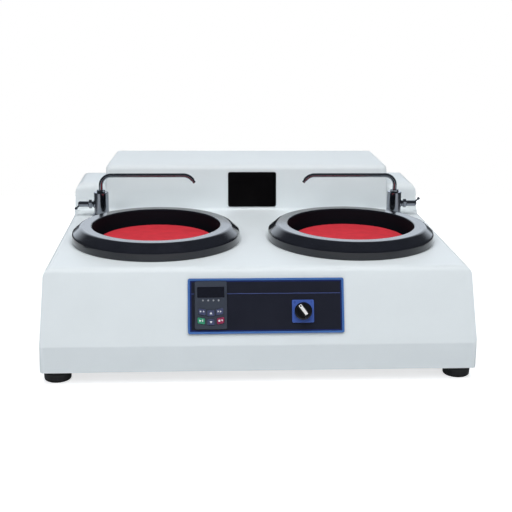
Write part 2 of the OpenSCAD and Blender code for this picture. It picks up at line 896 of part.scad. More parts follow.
module basin(side) {
    r_in = ring_id / 2 + ring_wall + slip + pass_gap;
    r_out = r_in + basin_wall;
    flange_room = 4;
    flange_r = ring_od / 2 - ring_wall - flange_room;
    flange_t = 3;
    floor_z = -basin_depth;
    collar_in = collar_d / 2;
    collar_out = collar_in + collar_wall;
    stub_r = drain_d / 2 - drain_wall - slip;
    stub_z = floor_z - basin_wall - drain_stub_h;
    color("#26262b") at_disc(side) translate([0, 0, deck_z]) difference() {
        union() {
            rotate_extrude() polygon([
                [collar_in, floor_z - basin_wall],
                [r_out, floor_z - basin_wall],
                [r_out, 0],
                [flange_r, 0],
                [flange_r, flange_t],
                [r_in, flange_t],
                [r_in, floor_z],
                [collar_out, floor_z],
                [collar_out, floor_z + collar_h],
                [collar_in, floor_z + collar_h]]);
            translate([0, drain_back, stub_z]) cylinder(r = stub_r, h = drain_stub_h + basin_wall / 2);
        }
        translate([0, drain_back, stub_z]) drill(2 * (stub_r - drain_wall), drain_stub_h + basin_wall);
    }
}

module drain_run(d, from_z, to_y) {
    bend_z = drain_z + drain_bend_r;
    translate([0, 0, bend_z]) cylinder(d = d, h = from_z - bend_z);
    translate([0, drain_bend_r, bend_z]) rotate([90, 0, 90]) rotate(180) elbow(d, drain_bend_r, 90);
    pointing_y(0, drain_bend_r, drain_z) cylinder(d = d, h = to_y - drain_bend_r);
}

module drain_pipe(side) {
    top = deck_z - basin_depth - basin_wall - pass_gap;
    end = y_end - drain_y;
    neck_step = 0.5;
    neck_d = drain_spigot_d - 2 * neck_step;
    spigot_l = y_end - spigot_start;
    collar_y = y_back - wall;
    color("#8d9196") translate([side * disc_x, drain_y, 0]) difference() {
        union() {
            drain_run(drain_d, top, y_back - drain_y);
            pointing_y(0, collar_y - drain_y, drain_z) cylinder(d = drain_collar_d, h = wall - film);
            pointing_y(0, collar_y - drain_y, drain_z) cylinder(d = neck_d, h = spigot_start - collar_y);
            pointing_y(0, spigot_start - drain_y, drain_z) cylinder(d = drain_spigot_d, h = spigot_l);
        }
        drain_run(drain_d - 2 * drain_wall, top + cut, end + cut);
    }
}

// Spindles, bearings and belts

module bearing_housing(side) {
    flange_top = chassis_top + bearing_flange_h;
    seat_lip = 4;
    seat_d = bearing_od + 2 * run_gap;
    color("darkslategray") at_disc(side) difference() {
        union() {
            translate([0, 0, chassis_top]) cylinder(d = bearing_flange_d, h = bearing_flange_h);
            translate([0, 0, flange_top]) cylinder(d = bearing_case_d, h = case_top - flange_top);
        }
        translate([0, 0, chassis_top]) drill(bearing_od - 2 * seat_lip, case_top - chassis_top);
        translate([0, 0, chassis_top - cut]) cylinder(d = seat_d, h = bearing_lip + bearing_w + cut);
        translate([0, 0, upper_bearing_z]) cylinder(d = seat_d, h = case_top - upper_bearing_z + cut);
        for (a = bolt_points)
            rotate(a) translate([bearing_bolt_r, 0, chassis_top])
                drill(chassis_bolt_d + 2 * slip, bearing_flange_h);
    }
}

module ball_bearing() {
    race_t = 3;
    groove_depth = 1;
    difference() {
        tube(bearing_od, bearing_id, bearing_w);
        for (z = [-cut, bearing_w - groove_depth])
            translate([0, 0, z])
                tube(bearing_od - 2 * race_t, bearing_id + 2 * race_t, groove_depth + cut);
    }
}

module spindle_bearings() {
    color("silver") for (side = [-1, 1], z = [lower_bearing_z, upper_bearing_z])
        at_disc(side) translate([0, 0, z]) ball_bearing();
}

module spindle_seals() {
    color("#222222") for (side = [-1, 1])
        at_disc(side) translate([0, 0, seal_z]) tube(bearing_od, shoulder_d + 2 * run_gap, seal_h);
}

function belt_z(side) = side < 0 ? high_belt_z : low_belt_z;

module spindle(side) {
    journal_d = bearing_id - 2 * run_gap;
    step = belt_z(side) + pulley_h / 2;
    seat = upper_bearing_z + bearing_w + run_gap;
    foot_z = belt_z(side) - pulley_h / 2 - nut_h;
    color("silver") at_disc(side) {
        translate([0, 0, foot_z]) cylinder(d = spindle_foot_d, h = step - foot_z);
        translate([0, 0, step]) cylinder(d = journal_d, h = seat - step);
        translate([0, 0, seat]) cylinder(d = shoulder_d, h = hub_under - seat);
        translate([0, 0, hub_under]) cylinder(d = nose_d, h = nose_l);
    }
}

module pulley_rims(running_d, bore_d, z) {
    rim = 3;
    side_play = 0.5;
    groove = belt_w + 2 * side_play;
    rim_h = (pulley_h - groove) / 2;
    translate([0, 0, z - pulley_h / 2]) difference() {
        union() {
            cylinder(d = running_d, h = pulley_h);
            cylinder(d = running_d + 2 * rim, h = rim_h);
            translate([0, 0, pulley_h - rim_h]) cylinder(d = running_d + 2 * rim, h = rim_h);
        }
        drill(bore_d, pulley_h);
    }
}

module spindle_pulley(side) {
    z = belt_z(side);
    bore_d = spindle_foot_d + 2 * run_gap;
    color("slategray") at_disc(side) {
        pulley_rims(spindle_pulley_d, bore_d, z);
        translate([0, 0, z - pulley_h / 2 - nut_h]) hex_nut(hex_ratio * spindle_foot_d, bore_d, nut_h);
    }
}

module platen(side) {
    bore_d = nose_d + 2 * run_gap;
    edge = 1;
    r = disc_d / 2;
    color("gainsboro") at_disc(side) difference() {
        union() {
            translate([0, 0, platen_under]) rotate_extrude()
                polygon([[0, 0], [r - edge, 0], [r, edge], [r, platen_t], [0, platen_t]]);
            translate([0, 0, hub_under]) cylinder(d = hub_d, h = hub_h + platen_t / 2);
        }
        translate([0, 0, hub_under - cut]) cylinder(d = bore_d, h = nose_l + nose_room + cut);
    }
}

module cloth(side) {
    edge = 0.4;
    r = disc_d / 2;
    color("#c83640") at_disc(side) translate([0, 0, platen_top]) rotate_extrude()
        polygon([[0, 0], [r, 0], [r, cloth_t - edge], [r - edge, cloth_t], [0, cloth_t]]);
}

module belt(side) {
    ease = 0.4;
    steps = 32;
    gap = norm([disc_x, y_disc - y_motor]);
    aim = atan2(y_disc - y_motor, side * disc_x);
    inner_motor = motor_pulley_d / 2 + ease;
    inner_disc = spindle_pulley_d / 2 + ease;
    color("#1c1c1c") translate([0, y_motor, belt_z(side) - belt_w / 2]) rotate(aim)
        linear_extrude(belt_w) difference() {
            polygon(loop_points(gap, inner_motor + belt_t, inner_disc + belt_t, steps));
            polygon(loop_points(gap, inner_motor, inner_disc, steps));
        }
}

// Motor and speed drive

module motor_housing() {
    fins = 24;
    fin_t = 3;
    core_d = motor_d - 2 * motor_fin;
    bore_d = rotor_d + 2 * rotor_gap;
    shaft_bore = motor_shaft_d + 2 * run_gap;
    neck_z = chassis_top + motor_flange_h;
    box_w = 50;
    box_d = 24;
    box_h = 44;
    box_sink = 6;
    bore_end = motor_top - motor_cap_h / 2;
    color("#5b6470") translate([0, y_motor, 0]) difference() {
        union() {
            translate([0, 0, chassis_top]) cylinder(d = motor_flange_d, h = motor_flange_h);
            translate([0, 0, neck_z]) cylinder(d = motor_neck_d, h = motor_neck_h);
            translate([0, 0, motor_body_z]) cylinder(d = core_d, h = motor_h);
            for (k = [0:fins - 1])
                rotate(k * 360 / fins) translate([0, -fin_t / 2, motor_body_z])
                    cube([motor_d / 2, fin_t, motor_h]);
            translate([0, 0, motor_body_z + motor_h]) cylinder(d = core_d, h = motor_cap_h);
            translate([core_d / 2 - box_sink, -box_w / 2, motor_body_z + motor_h / 2])
                cube([box_d, box_w, box_h]);
        }
        translate([0, 0, chassis_top - cut]) cylinder(d = shaft_bore, h = bore_end - chassis_top + cut);
        translate([0, 0, motor_body_z]) cylinder(d = bore_d, h = motor_h);
        for (a = bolt_points)
            rotate(a) translate([motor_bolt_r, 0, chassis_top])
                drill(chassis_bolt_d + 2 * slip, motor_flange_h);
    }
}

module motor_shaft() {
    end_play = 3;
    shaft_out = 2;
    foot_z = low_belt_z - pulley_h / 2 - shaft_out;
    shaft_top = motor_top - motor_cap_h / 2 - end_play;
    color("silver") translate([0, y_motor, 0]) {
        translate([0, 0, foot_z]) cylinder(d = motor_shaft_d, h = shaft_top - foot_z);
        translate([0, 0, motor_body_z + end_play])
            tube(rotor_d, motor_shaft_d - cut, motor_h - 2 * end_play);
    }
}

module motor_pulley() {
    color("slategray") translate([0, y_motor, 0])
        for (z = [low_belt_z, high_belt_z]) pulley_rims(motor_pulley_d, motor_shaft_d + 2 * run_gap, z);
}

module speed_drive() {
    fins = 7;
    fin_t = 3;
    sink_d = 14;
    step = (drive_box_w - fin_t) / (fins - 1);
    case_d = drive_box_d - sink_d;
    color("#3a3d42") translate([drive_box_x - drive_box_w / 2, drive_box_y - drive_box_d / 2, chassis_top]) {
        cube([drive_box_w, case_d, drive_box_h]);
        for (k = [0:fins - 1])
            translate([k * step, case_d - cut, 0]) cube([fin_t, sink_d + cut, drive_box_h]);
    }
}

// Water supply and mains entry

module water_pipe() {
    z = deck_z - water_pipe_drop;
    cup_wall = 3;
    cup_rise = 10;
    socket_d = tail_d + 2 * slip;
    stub_room_l = inlet_stub_l + inlet_end_gap;
    color("#6f8fa8") difference() {
        union() {
            translate([-tap_x, y_tap, z]) rotate([0, 90, 0]) cylinder(d = water_pipe_d, h = 2 * tap_x);
            for (side = [-1, 1])
                translate([side * tap_x, y_tap, z - water_pipe_d / 2])
                    cylinder(d = socket_d + 2 * cup_wall, h = water_pipe_d + cup_rise);
            pointing_y(inlet_x, y_tap, z) cylinder(d = water_pipe_d, h = y_back - pass_gap - y_tap);
        }
        for (side = [-1, 1])
            translate([side * tap_x, y_tap, deck_z - tail_l - slip]) cylinder(d = socket_d, h = tail_l);
        pointing_y(inlet_x, y_back - stub_room_l, z)
            cylinder(d = water_pipe_d - 2 * pipe_wall, h = stub_room_l + cut);
    }
}

module water_inlet() {
    tail_tip = 1;
    stub_d = water_pipe_d - 2 * pipe_wall - 2 * slip;
    tail_start = y_cover + inlet_nut_h;
    tip_start = y_end - tail_tip;
    color("#c9a24a") translate([inlet_x, 0, inlet_z]) {
        pointing_y(0, y_back - inlet_stub_l, 0) cylinder(d = stub_d, h = inlet_stub_l + cover_t);
        pointing_y(0, y_cover, 0) hex(inlet_nut_d, inlet_nut_h);
        pointing_y(0, tail_start, 0) cylinder(d = hose_tail_d, h = tip_start - tail_start);
        pointing_y(0, tip_start, 0) cylinder(d1 = hose_tail_d, d2 = hose_tail_d - 2 * tail_tip, h = tail_tip);
    }
}

module cable_gland() {
    thread_start = y_back - gland_inside;
    cap_start = y_cover + gland_flange_h;
    color("#2a2a2e") translate([gland_x, 0, gland_z]) difference() {
        union() {
            pointing_y(0, thread_start, 0) cylinder(d = gland_thread_d, h = y_cover + cut - thread_start);
            pointing_y(0, y_cover, 0) hex(gland_nut_d + 2 * gland_lip, gland_flange_h);
            pointing_y(0, cap_start, 0) cylinder(d = gland_nut_d, h = gland_nut_h);
            pointing_y(0, y_back - gland_lock_h, 0) hex(gland_nut_d + gland_lip, gland_lock_h);
        }
        pointing_y(0, thread_start, 0) drill(gland_bore_d, cap_start + gland_nut_h - thread_start);
    }
}

// Control panel

function key_places() = [
    [-1, 1], [0, 1], [1, 1],
    [-1, 0], [0, 0], [1, 0]];

function key_centre(k) =
    let (place = key_places()[k])
    let (spread = place[1] == 0 ? key_spread : 0)
    [keypad_x + place[0] * (key_pitch_x + spread),
     key_rows_up + (place[1] - 1) * key_pitch_y + abs(place[0]) * key_outer_rise];

function key_corners(k, grow) =
    let (lean = key_places()[k][0] * key_slant)
    let (w = key_w / 2 + grow)
    let (h = key_h / 2 + grow)
    [[-w, -h - lean, key_corner_r],
     [w, -h + lean, key_corner_r],
     [w, h + lean, key_corner_r],
     [-w, h - lean, key_corner_r]];

module key_prism(k, grow, from, to) {
    centre = key_centre(k);
    on_face(centre[0], centre[1], from) linear_extrude(to - from) polygon(rounded(key_corners(k, grow)));
}

module key(k, paint) {
    color(paint) key_prism(k, 0, key_back, keypad_front + key_proud);
}

module lamp_places(out) {
    for (k = [0:3]) on_face(keypad_x + (k - 1.5) * lamp_pitch, lamp_up, out) children();
}

module control_panel() {
    color("#20222e") difference() {
        on_face(panel_x, panel_up, 0) plate(panel_w, panel_h, panel_t, panel_corner_r);
        on_face(keypad_x, keypad_up, -cut)
            plate(keypad_box_w + 2 * slip, keypad_box_h + 2 * slip, panel_t + 2 * cut, inner_corner_r);
        on_face(switch_x, switch_up, 0) drill(switch_neck_d + 2 * slip, panel_t);
    }
}

module panel_trim() {
    inner_w = panel_w - 2 * trim_w;
    inner_h = panel_h - 2 * trim_w;
    left = panel_x - inner_w / 2;
    right = panel_x + inner_w / 2;
    keypad_left = keypad_x - keypad_w / 2 - pass_gap;
    keypad_right = keypad_x + keypad_w / 2 + pass_gap;
    color("#4a74b8") difference() {
        on_face(panel_x, panel_up, panel_t) plate(panel_w, panel_h, trim_t, panel_corner_r);
        on_face(panel_x, panel_up, panel_t - cut) plate(inner_w, inner_h, trim_t + 2 * cut, inner_corner_r);
    }
    color("#6f8fc4") for (run = [[left, keypad_left], [keypad_right, right]])
        on_face(run[0], line_up, panel_t) cube([run[1] - run[0], line_w, trim_t / 2]);
}

module keypad_case() {
    inner_w = keypad_box_w - 2 * keypad_box_wall;
    inner_h = keypad_box_h - 2 * keypad_box_wall;
    skin_back = keypad_front - keypad_skin;
    color("#3e4450") difference() {
        union() {
            on_face(keypad_x, keypad_up, panel_t) plate(keypad_w, keypad_h, keypad_t, panel_corner_r);
            on_face(keypad_x, keypad_up, -keypad_box_d)
                plate(keypad_box_w, keypad_box_h, keypad_box_d + panel_t, inner_corner_r);
        }
        on_face(keypad_x, keypad_up, -keypad_box_d - cut)
            plate(inner_w, inner_h, keypad_box_d + skin_back + cut, inner_corner_r);
        for (k = [0:len(key_places()) - 1]) key_prism(k, slip, skin_back - cut, keypad_front + cut);
        lamp_places(skin_back) drill(2 * lamp_r + slip, keypad_skin);
        on_face(keypad_x, window_up, keypad_front - window_t)
            plate(window_w + 2 * slip, window_h + 2 * slip, window_t + cut, inner_corner_r);
    }
}

module keypad_board() {
    inner_w = keypad_box_w - 2 * keypad_box_wall - 2 * slip;
    inner_h = keypad_box_h - 2 * keypad_box_wall - 2 * slip;
    color("#2f6b45") on_face(keypad_x, keypad_up, board_front - board_t)
        plate(inner_w, inner_h, board_t, inner_corner_r);
}

module keypad_window() {
    color("#1e202a") on_face(keypad_x, window_up, keypad_front - window_t)
        plate(window_w, window_h, window_t + window_proud, inner_corner_r);
}

module keypad_lamps() {
    color("#5a2a30") lamp_places(board_front) cylinder(r = lamp_r, h = keypad_front + lamp_proud - board_front);
}

module switch_plate() {
    color("#4866b8") difference() {
        on_face(switch_x, switch_up, panel_t)
            plate(switch_plate_w, switch_plate_h, switch_plate_t, switch_corner_r);
        on_face(switch_x, switch_up, panel_t) drill(switch_shaft_d + 2 * run_gap, switch_plate_t);
    }
}

module switch_body() {
    color("#2b2b30") difference() {
        union() {
            on_face(switch_x, switch_up, -switch_body_d)
                plate(switch_body_side, switch_body_side, switch_body_d, switch_corner_r);
            on_face(switch_x, switch_up, -cut) cylinder(d = switch_neck_d, h = panel_t + cut);
        }
        on_face(switch_x, switch_up, -switch_shaft_in)
            cylinder(d = switch_shaft_d + 2 * run_gap, h = switch_shaft_in + panel_t + cut);
    }
}

module switch_knob() {
    edge = knob_edge;
    r = knob_d / 2;
    grip_top = knob_base_h + knob_grip_h;
    shaft_l = knob_out + switch_shaft_in - shaft_end_gap;
    color("#17171a") on_face(switch_x, switch_up, knob_out) {
        difference() {
            union() {
                rotate_extrude() polygon([
                    [0, 0],
                    [r, 0],
                    [r, knob_base_h - edge],
                    [r - edge, knob_base_h],
                    [0, knob_base_h]]);
                rotate(knob_rest) translate([-knob_grip_w / 2, -r + edge, knob_base_h - cut])
                    cube([knob_grip_w, knob_d - 2 * edge, knob_grip_h + cut]);
            }
            rotate(knob_rest) pointer_shape(slip, grip_top - pointer_t, pointer_t + cut);
        }
        translate([0, 0, -shaft_l]) cylinder(d = switch_shaft_d, h = shaft_l + cut);
    }
}

module pointer_shape(grow, from, thick) {
    translate([0, pointer_shift, from])
        plate(pointer_w + 2 * grow, pointer_l + 2 * grow, thick, inner_corner_r);
}

module switch_pointer() {
    color("white") on_face(switch_x, switch_up, knob_out)
        rotate(knob_rest) pointer_shape(0, knob_base_h + knob_grip_h - pointer_t, pointer_t + pointer_proud);
}

module plaque() {
    color("#141014") on_block(plaque_x, plaque_up, 0) plate(plaque_w, plaque_h, plaque_t, plaque_corner_r);
}

// Taps

module tap_body(side) {
    fillet = 1.5;
    color("silver") at_tap(side) difference() {
        union() {
            rotate_extrude() polygon(rounded([
                [0, 0, 0],
                [tap_flange_d / 2, 0, 0],
                [tap_flange_d / 2, tap_flange_h, fillet],
                [tap_d / 2, tap_flange_h, 0],
                [tap_d / 2, tap_h, fillet],
                [0, tap_h, 0]]));
            translate([0, 0, -tail_l]) cylinder(d = tail_d, h = tail_l + cut);
            translate([0, 0, valve_h]) rotate([0, -90, 0]) cylinder(d = barrel_d, h = bonnet_out);
            translate([-bonnet_out, 0, valve_h]) rotate([0, -90, 0]) hex(bonnet_d, bonnet_h);
        }
        translate([0, 0, tap_h - socket_depth]) cylinder(d = spout_d + 2 * run_gap, h = socket_depth + cut);
        translate([-bonnet_out - bonnet_h - cut, 0, valve_h]) rotate([0, 90, 0])
            cylinder(d = stem_d + 2 * run_gap, h = stem_in + bonnet_h + cut);
    }
}

module tap_nuts() {
    color("silver") for (side = [-1, 1]) at_tap(side) {
        translate([0, 0, tap_h]) hex_nut(gland_d, spout_d + 2 * run_gap, gland_h);
        translate([0, 0, -wall - lock_nut_h]) hex_nut(lock_nut_d, tail_d + 2 * run_gap, lock_nut_h);
    }
}

module spout(side) {
    foot = tap_h - socket_depth + shaft_end_gap;
    rise = spout_h - spout_bend_r;
    run = spout_reach - spout_bend_r;
    bore_l = 4;
    bore_wall = 1;
    bore_d = spout_d - 2 * bore_wall;
    color("silver") at_tap(side) difference() {
        union() {
            translate([0, 0, foot]) cylinder(d = spout_d, h = rise - foot);
            translate([spout_bend_r, 0, rise]) rotate([90, 0, 0]) rotate(90) elbow(spout_d, spout_bend_r, 90);
            translate([spout_bend_r, 0, spout_h]) rotate([0, 90, 0]) cylinder(d = spout_d, h = run);
            translate([spout_reach, 0, spout_h - spout_tip_r]) rotate([-90, 0, 0])
                rotate(-90) elbow(spout_d, spout_tip_r, spout_tip_angle);
        }
        at_spout_tip() translate([0, 0, -bore_l]) cylinder(d = bore_d, h = bore_l + cut);
    }
}

// The end of the spout's second bend, looking out of it
module at_spout_tip() {
    translate([spout_reach, 0, spout_h - spout_tip_r]) rotate([0, spout_tip_angle, 0])
        translate([0, 0, spout_tip_r]) rotate([0, 90, 0]) children();
}

// The lever leans out from the end of the barrel; at a swing of 0 it points up
module tap_lever(side, swing) {
    lean = 45;
    end_out = barrel_out + barrel_l;
    cap_l = 2;
    cap_step = 0.5;
    cap_taper = 1.5;
    cap_d = barrel_d - 2 * cap_step;
    stem_start = bonnet_out - stem_in + stem_gap;
    color("silver") at_tap(side) translate([0, 0, valve_h]) rotate([swing, 0, 0]) {
        translate([-stem_start, 0, 0]) rotate([0, -90, 0])
            cylinder(d = stem_d, h = barrel_out + stem_bite - stem_start);
        translate([-barrel_out, 0, 0]) rotate([0, -90, 0]) cylinder(d = barrel_d, h = barrel_l);
        translate([-end_out, 0, 0]) rotate([0, -90, 0])
            cylinder(d1 = cap_d, d2 = cap_d - 2 * cap_taper, h = cap_l);
        translate([-end_out + lever_d, 0, 0]) rotate([0, -lean, 0]) {
            cylinder(d = lever_d, h = lever_l);
            translate([0, 0, lever_l]) sphere(d = lever_ball_d);
        }
    }
}

module left_basin() { basin(-1); }
module right_basin() { basin(1); }
module left_splash_ring() { splash_ring(-1); }
module right_splash_ring() { splash_ring(1); }
module left_bearing_housing() { bearing_housing(-1); }
module right_bearing_housing() { bearing_housing(1); }
module left_drain_pipe() { drain_pipe(-1); }
module right_drain_pipe() { drain_pipe(1); }
module left_belt() { belt(-1); }
module right_belt() { belt(1); }
module left_tap_body() { tap_body(-1); }
module right_tap_body() { tap_body(1); }
module left_platen() { platen(-1); }
module right_platen() { platen(1); }
module left_cloth() { cloth(-1); }
module right_cloth() { cloth(1); }
module left_spindle() { spindle(-1); }
module right_spindle() { spindle(1); }
module left_spindle_pulley() { spindle_pulley(-1); }
module right_spindle_pulley() { spindle_pulley(1); }
module left_spout() { spout(-1); }
module right_spout() { spout(1); }
module left_tap_lever() { tap_lever(-1, open_swing); }
module right_tap_lever() { tap_lever(1, shut_swing); }
module program_key() { key(0, "#4a5070"); }
module up_key() { key(1, "#4a5070"); }
module shift_key() { key(2, "#4a5070"); }
module run_key() { key(3, "#3e9a78"); }
module down_key() { key(4, "#4a5070"); }
module stop_key() { key(5, "#9a3458"); }

housing();
base_pan();
case_screws();
rubber_feet();
foot_bolts();
rear_cover();
chassis_frame();
chassis_bolts();
left_basin();
right_basin();
left_splash_ring();
right_splash_ring();
left_bearing_housing();
right_bearing_housing();
spindle_bearings();
spindle_seals();
left_drain_pipe();
right_drain_pipe();
motor_housing();
left_belt();
right_belt();
water_pipe();
water_inlet();
cable_gland();
speed_drive();
control_panel();
panel_trim();
keypad_case();
keypad_board();
keypad_window();
keypad_lamps();
switch_plate();
switch_body();
plaque();
left_tap_body();
right_tap_body();
tap_nuts();
left_platen();
left_cloth();
left_spindle();
left_spindle_pulley();
right_platen();
right_cloth();
right_spindle();
right_spindle_pulley();
motor_shaft();
motor_pulley();
left_spout();
right_spout();
left_tap_lever();
right_tap_lever();
switch_knob();
switch_pointer();
program_key();
up_key();
shift_key();
run_key();
down_key();
stop_key();
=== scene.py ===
"""Looks of a double-disc metallographic polishing machine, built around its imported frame."""

import json
import math

import bmesh
import bpy
from bpy.props import FloatProperty, FloatVectorProperty, IntProperty, PointerProperty
from mathutils import Matrix, Vector


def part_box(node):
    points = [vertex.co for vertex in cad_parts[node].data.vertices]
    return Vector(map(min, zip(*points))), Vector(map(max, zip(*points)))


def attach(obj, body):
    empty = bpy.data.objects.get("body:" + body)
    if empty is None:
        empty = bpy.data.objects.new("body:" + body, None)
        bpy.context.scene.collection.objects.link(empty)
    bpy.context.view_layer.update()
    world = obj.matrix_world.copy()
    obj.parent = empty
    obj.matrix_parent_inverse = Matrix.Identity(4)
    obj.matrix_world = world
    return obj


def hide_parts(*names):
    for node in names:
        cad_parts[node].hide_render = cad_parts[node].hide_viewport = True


bl_info = {
    "name": "Polishing machine",
    "version": (1, 0, 0),
    "blender": (4, 5, 0),
    "location": "View3D > Sidebar > Machine",
    "description": "Builds the looks of a double-disc polishing machine around its frame",
    "category": "Object",
}

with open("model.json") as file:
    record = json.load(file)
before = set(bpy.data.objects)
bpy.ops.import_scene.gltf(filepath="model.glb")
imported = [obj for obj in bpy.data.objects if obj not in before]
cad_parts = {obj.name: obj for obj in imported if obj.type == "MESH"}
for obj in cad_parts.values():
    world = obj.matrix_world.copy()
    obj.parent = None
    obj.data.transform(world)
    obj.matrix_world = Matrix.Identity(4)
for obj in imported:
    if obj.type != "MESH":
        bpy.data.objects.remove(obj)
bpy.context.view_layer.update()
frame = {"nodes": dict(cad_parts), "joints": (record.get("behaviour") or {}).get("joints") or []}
MM = 0.001
TOUCH = MM / 1000  # points closer than this are one point
WELD = MM / 500  # vertices of a node closer than this are welded
FLAT = math.radians(0.5)  # faces of a node within this angle are joined
NEAR = 0.05 * MM  # an edge this close to a plate's front face belongs to it
MACHINE = "machine"
SIDES = {"left": -1, "right": 1}
JOINTS = {joint["name"]: joint for joint in frame["joints"]}
ROUND_STEPS = 6
BLOCK_LEAN = math.radians(9)  # lean of the centre block's front
WHITE, BLACK = (1, 1, 1, 1), (0, 0, 0, 1)


# Colours and the frame's own places


def linear(code):
    """The linear colour of an sRGB hex code."""
    parts = [int(code[i : i + 2], 16) / 255 for i in (0, 2, 4)]
    return tuple(c / 12.92 if c <= 0.04045 else ((c + 0.055) / 1.055) ** 2.4 for c in parts) + (1.0,)


def middle(node):
    """The middle of a node's box."""
    low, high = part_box(node)
    return (low + high) / 2


def joint_place(name):
    """A point on a joint's axis."""
    return Vector(JOINTS[name]["pos_m"])


FACE_IN = Vector(JOINTS["up_press"]["axis"]).normalized()
FACE_TILT = math.atan2(-FACE_IN.z, FACE_IN.y)
FACE_TURN = Matrix.Rotation(math.pi / 2 - FACE_TILT, 4, "X")


def front_box(node):
    """The least and greatest corner of a node in the sloping front's own axes: across, up the slope, out of it."""
    obj = frame["nodes"][node]
    turn = FACE_TURN.inverted() @ obj.matrix_world
    spots = [turn @ v.co for v in obj.data.vertices]
    return [Vector([pick_end(p[i] for p in spots) for i in range(3)]) for pick_end in (min, max)]


def front_size(node):
    """Width and height of a piece on the sloping front."""
    low, high = front_box(node)
    return high.x - low.x, high.y - low.y


def on_front(node, x=0.0, up=0.0, out=0.0):
    """Placing on a piece's outer face: x across, up the slope and out of it, from the middle of that face."""
    low, high = front_box(node)
    spot = Vector(((low.x + high.x) / 2 + x, (low.y + high.y) / 2 + up, high.z + out))
    return FACE_TURN @ Matrix.Translation(spot)


# Modelling by hand: drawing, rounding, spinning, copying


def take_all():
    """In edit mode, selects the whole mesh."""
    bpy.ops.mesh.select_all(action="SELECT")


def leave_edit():
    """Goes back to object mode."""
    bpy.ops.object.mode_set(mode="OBJECT")


def round_edges(offset, steps, clamp=False):
    """In edit mode, rounds the selected edges."""
    bpy.ops.mesh.bevel(offset=offset, segments=steps, affect="EDGES", clamp_overlap=clamp)


def draw_on(*step):
    """In edit mode, extrudes the selection by a step."""
    bpy.ops.mesh.extrude_region_move(TRANSFORM_OT_translate={"value": step})


def add_object(name, data):
    """A new object in the scene."""
    obj = bpy.data.objects.new(name, data)
    bpy.context.scene.collection.objects.link(obj)
    return obj


def clear_selection():
    """Leaves edit mode and selects nothing."""
    if bpy.context.object is not None and bpy.context.object.mode != "OBJECT":
        leave_edit()
    bpy.ops.object.select_all(action="DESELECT")


def select_only(obj):
    """Selects one object and makes it the active one."""
    clear_selection()
    bpy.context.view_layer.objects.active = obj
    obj.select_set(True)


def edit(obj):
    """Opens one object alone in edit mode."""
    select_only(obj)
    bpy.ops.object.mode_set(mode="EDIT")
    bpy.ops.mesh.select_mode(type="VERT")


def pick(test, kind="EDGE"):
    """In edit mode, selects the vertices, edges or faces that pass a test, and says how many."""
    mesh = bpy.context.edit_object.data
    bpy.ops.mesh.select_mode(type=kind)
    bpy.ops.mesh.select_all(action="DESELECT")
    shape = bmesh.from_edit_mesh(mesh)
    items = {"VERT": shape.verts, "EDGE": shape.edges, "FACE": shape.faces}[kind]
    chosen = [item for item in items if test(item)]
    for item in chosen:
        item.select_set(True)
    shape.select_flush_mode()
    bmesh.update_edit_mesh(mesh)
    return len(chosen)


def is_sharp(edge, degrees=30):
    """Whether the two faces of an edge meet at more than an angle."""
    return len(edge.link_faces) == 2 and edge.calc_face_angle(0) > math.radians(degrees)


def apply_modifier(obj, kind, **settings):
    """Adds a modifier, sets it and applies it."""
    select_only(obj)
    bpy.ops.object.modifier_add(type=kind)
    modifier = obj.modifiers[-1]
    for key, value in settings.items():
        setattr(modifier, key, value)
    bpy.ops.object.modifier_apply(modifier=modifier.name)


def place(obj, matrix):
    """Puts a piece at its place and applies that to its mesh."""
    select_only(obj)
    obj.matrix_world = matrix
    bpy.ops.object.transform_apply(location=True, rotation=True, scale=True)
    if matrix.determinant() < 0:
        edit(obj)
        take_all()
        bpy.ops.mesh.flip_normals()
        leave_edit()
    return obj


def turn_at(corners, i):
    """How far the outline turns at one of its corners."""
    before, here, after = (Vector(corners[j % len(corners)][:2]) for j in (i - 1, i, i + 1))
    return abs((here - before).angle(after - here))


def draw_outline(name, corners):
    """Draws an outline corner by corner, fills it and rounds its corners. A corner is (x, y, radius)."""
    clear_selection()
    bpy.ops.mesh.primitive_plane_add(size=MM)
    obj = bpy.context.object
    obj.name = obj.data.name = name
    edit(obj)
    take_all()
    bpy.ops.mesh.merge(type="CENTER")
    pen = Vector((0, 0))
    for i, corner in enumerate(corners):
        step = (corner[0] - pen.x, corner[1] - pen.y, 0)
        if i == 0:
            bpy.ops.transform.translate(value=step)
        else:
            bpy.ops.mesh.extrude_vertices_move(TRANSFORM_OT_translate={"value": step})
        pen = Vector(corner[:2])
    take_all()
    bpy.ops.mesh.edge_face_add()
    for i, corner in enumerate(corners):
        if corner[2] > 0:
            spot = Vector((corner[0], corner[1], 0))
            pick(lambda v: (v.co - spot).length < TOUCH, "VERT")
            reach = corner[2] * math.tan(turn_at(corners, i) / 2)
            bpy.ops.mesh.bevel(offset=reach, segments=ROUND_STEPS, affect="VERTICES")
    return obj


def tidy_shell():
    """In edit mode, closes seams and turns all faces outwards."""
    take_all()
    bpy.ops.mesh.remove_doubles(threshold=TOUCH)
    bpy.ops.mesh.normals_make_consistent(inside=False)
    leave_edit()


def lathe(name, corners, steps=96):
    """Turns an outline of (radius, height, rounding) corners about the Z axis."""
    obj = draw_outline(name, corners)
    take_all()
    bpy.ops.mesh.delete(type="ONLY_FACE")
    if pick(lambda e: all(abs(v.co.x) < TOUCH for v in e.verts)):
        bpy.ops.mesh.delete(type="EDGE")
    leave_edit()
    place(obj, Matrix.Rotation(math.pi / 2, 4, "X"))
    edit(obj)
    take_all()
    bpy.ops.mesh.spin(steps=steps, angle=2 * math.pi, center=(0, 0, 0), axis=(0, 0, 1))
    tidy_shell()
    return obj


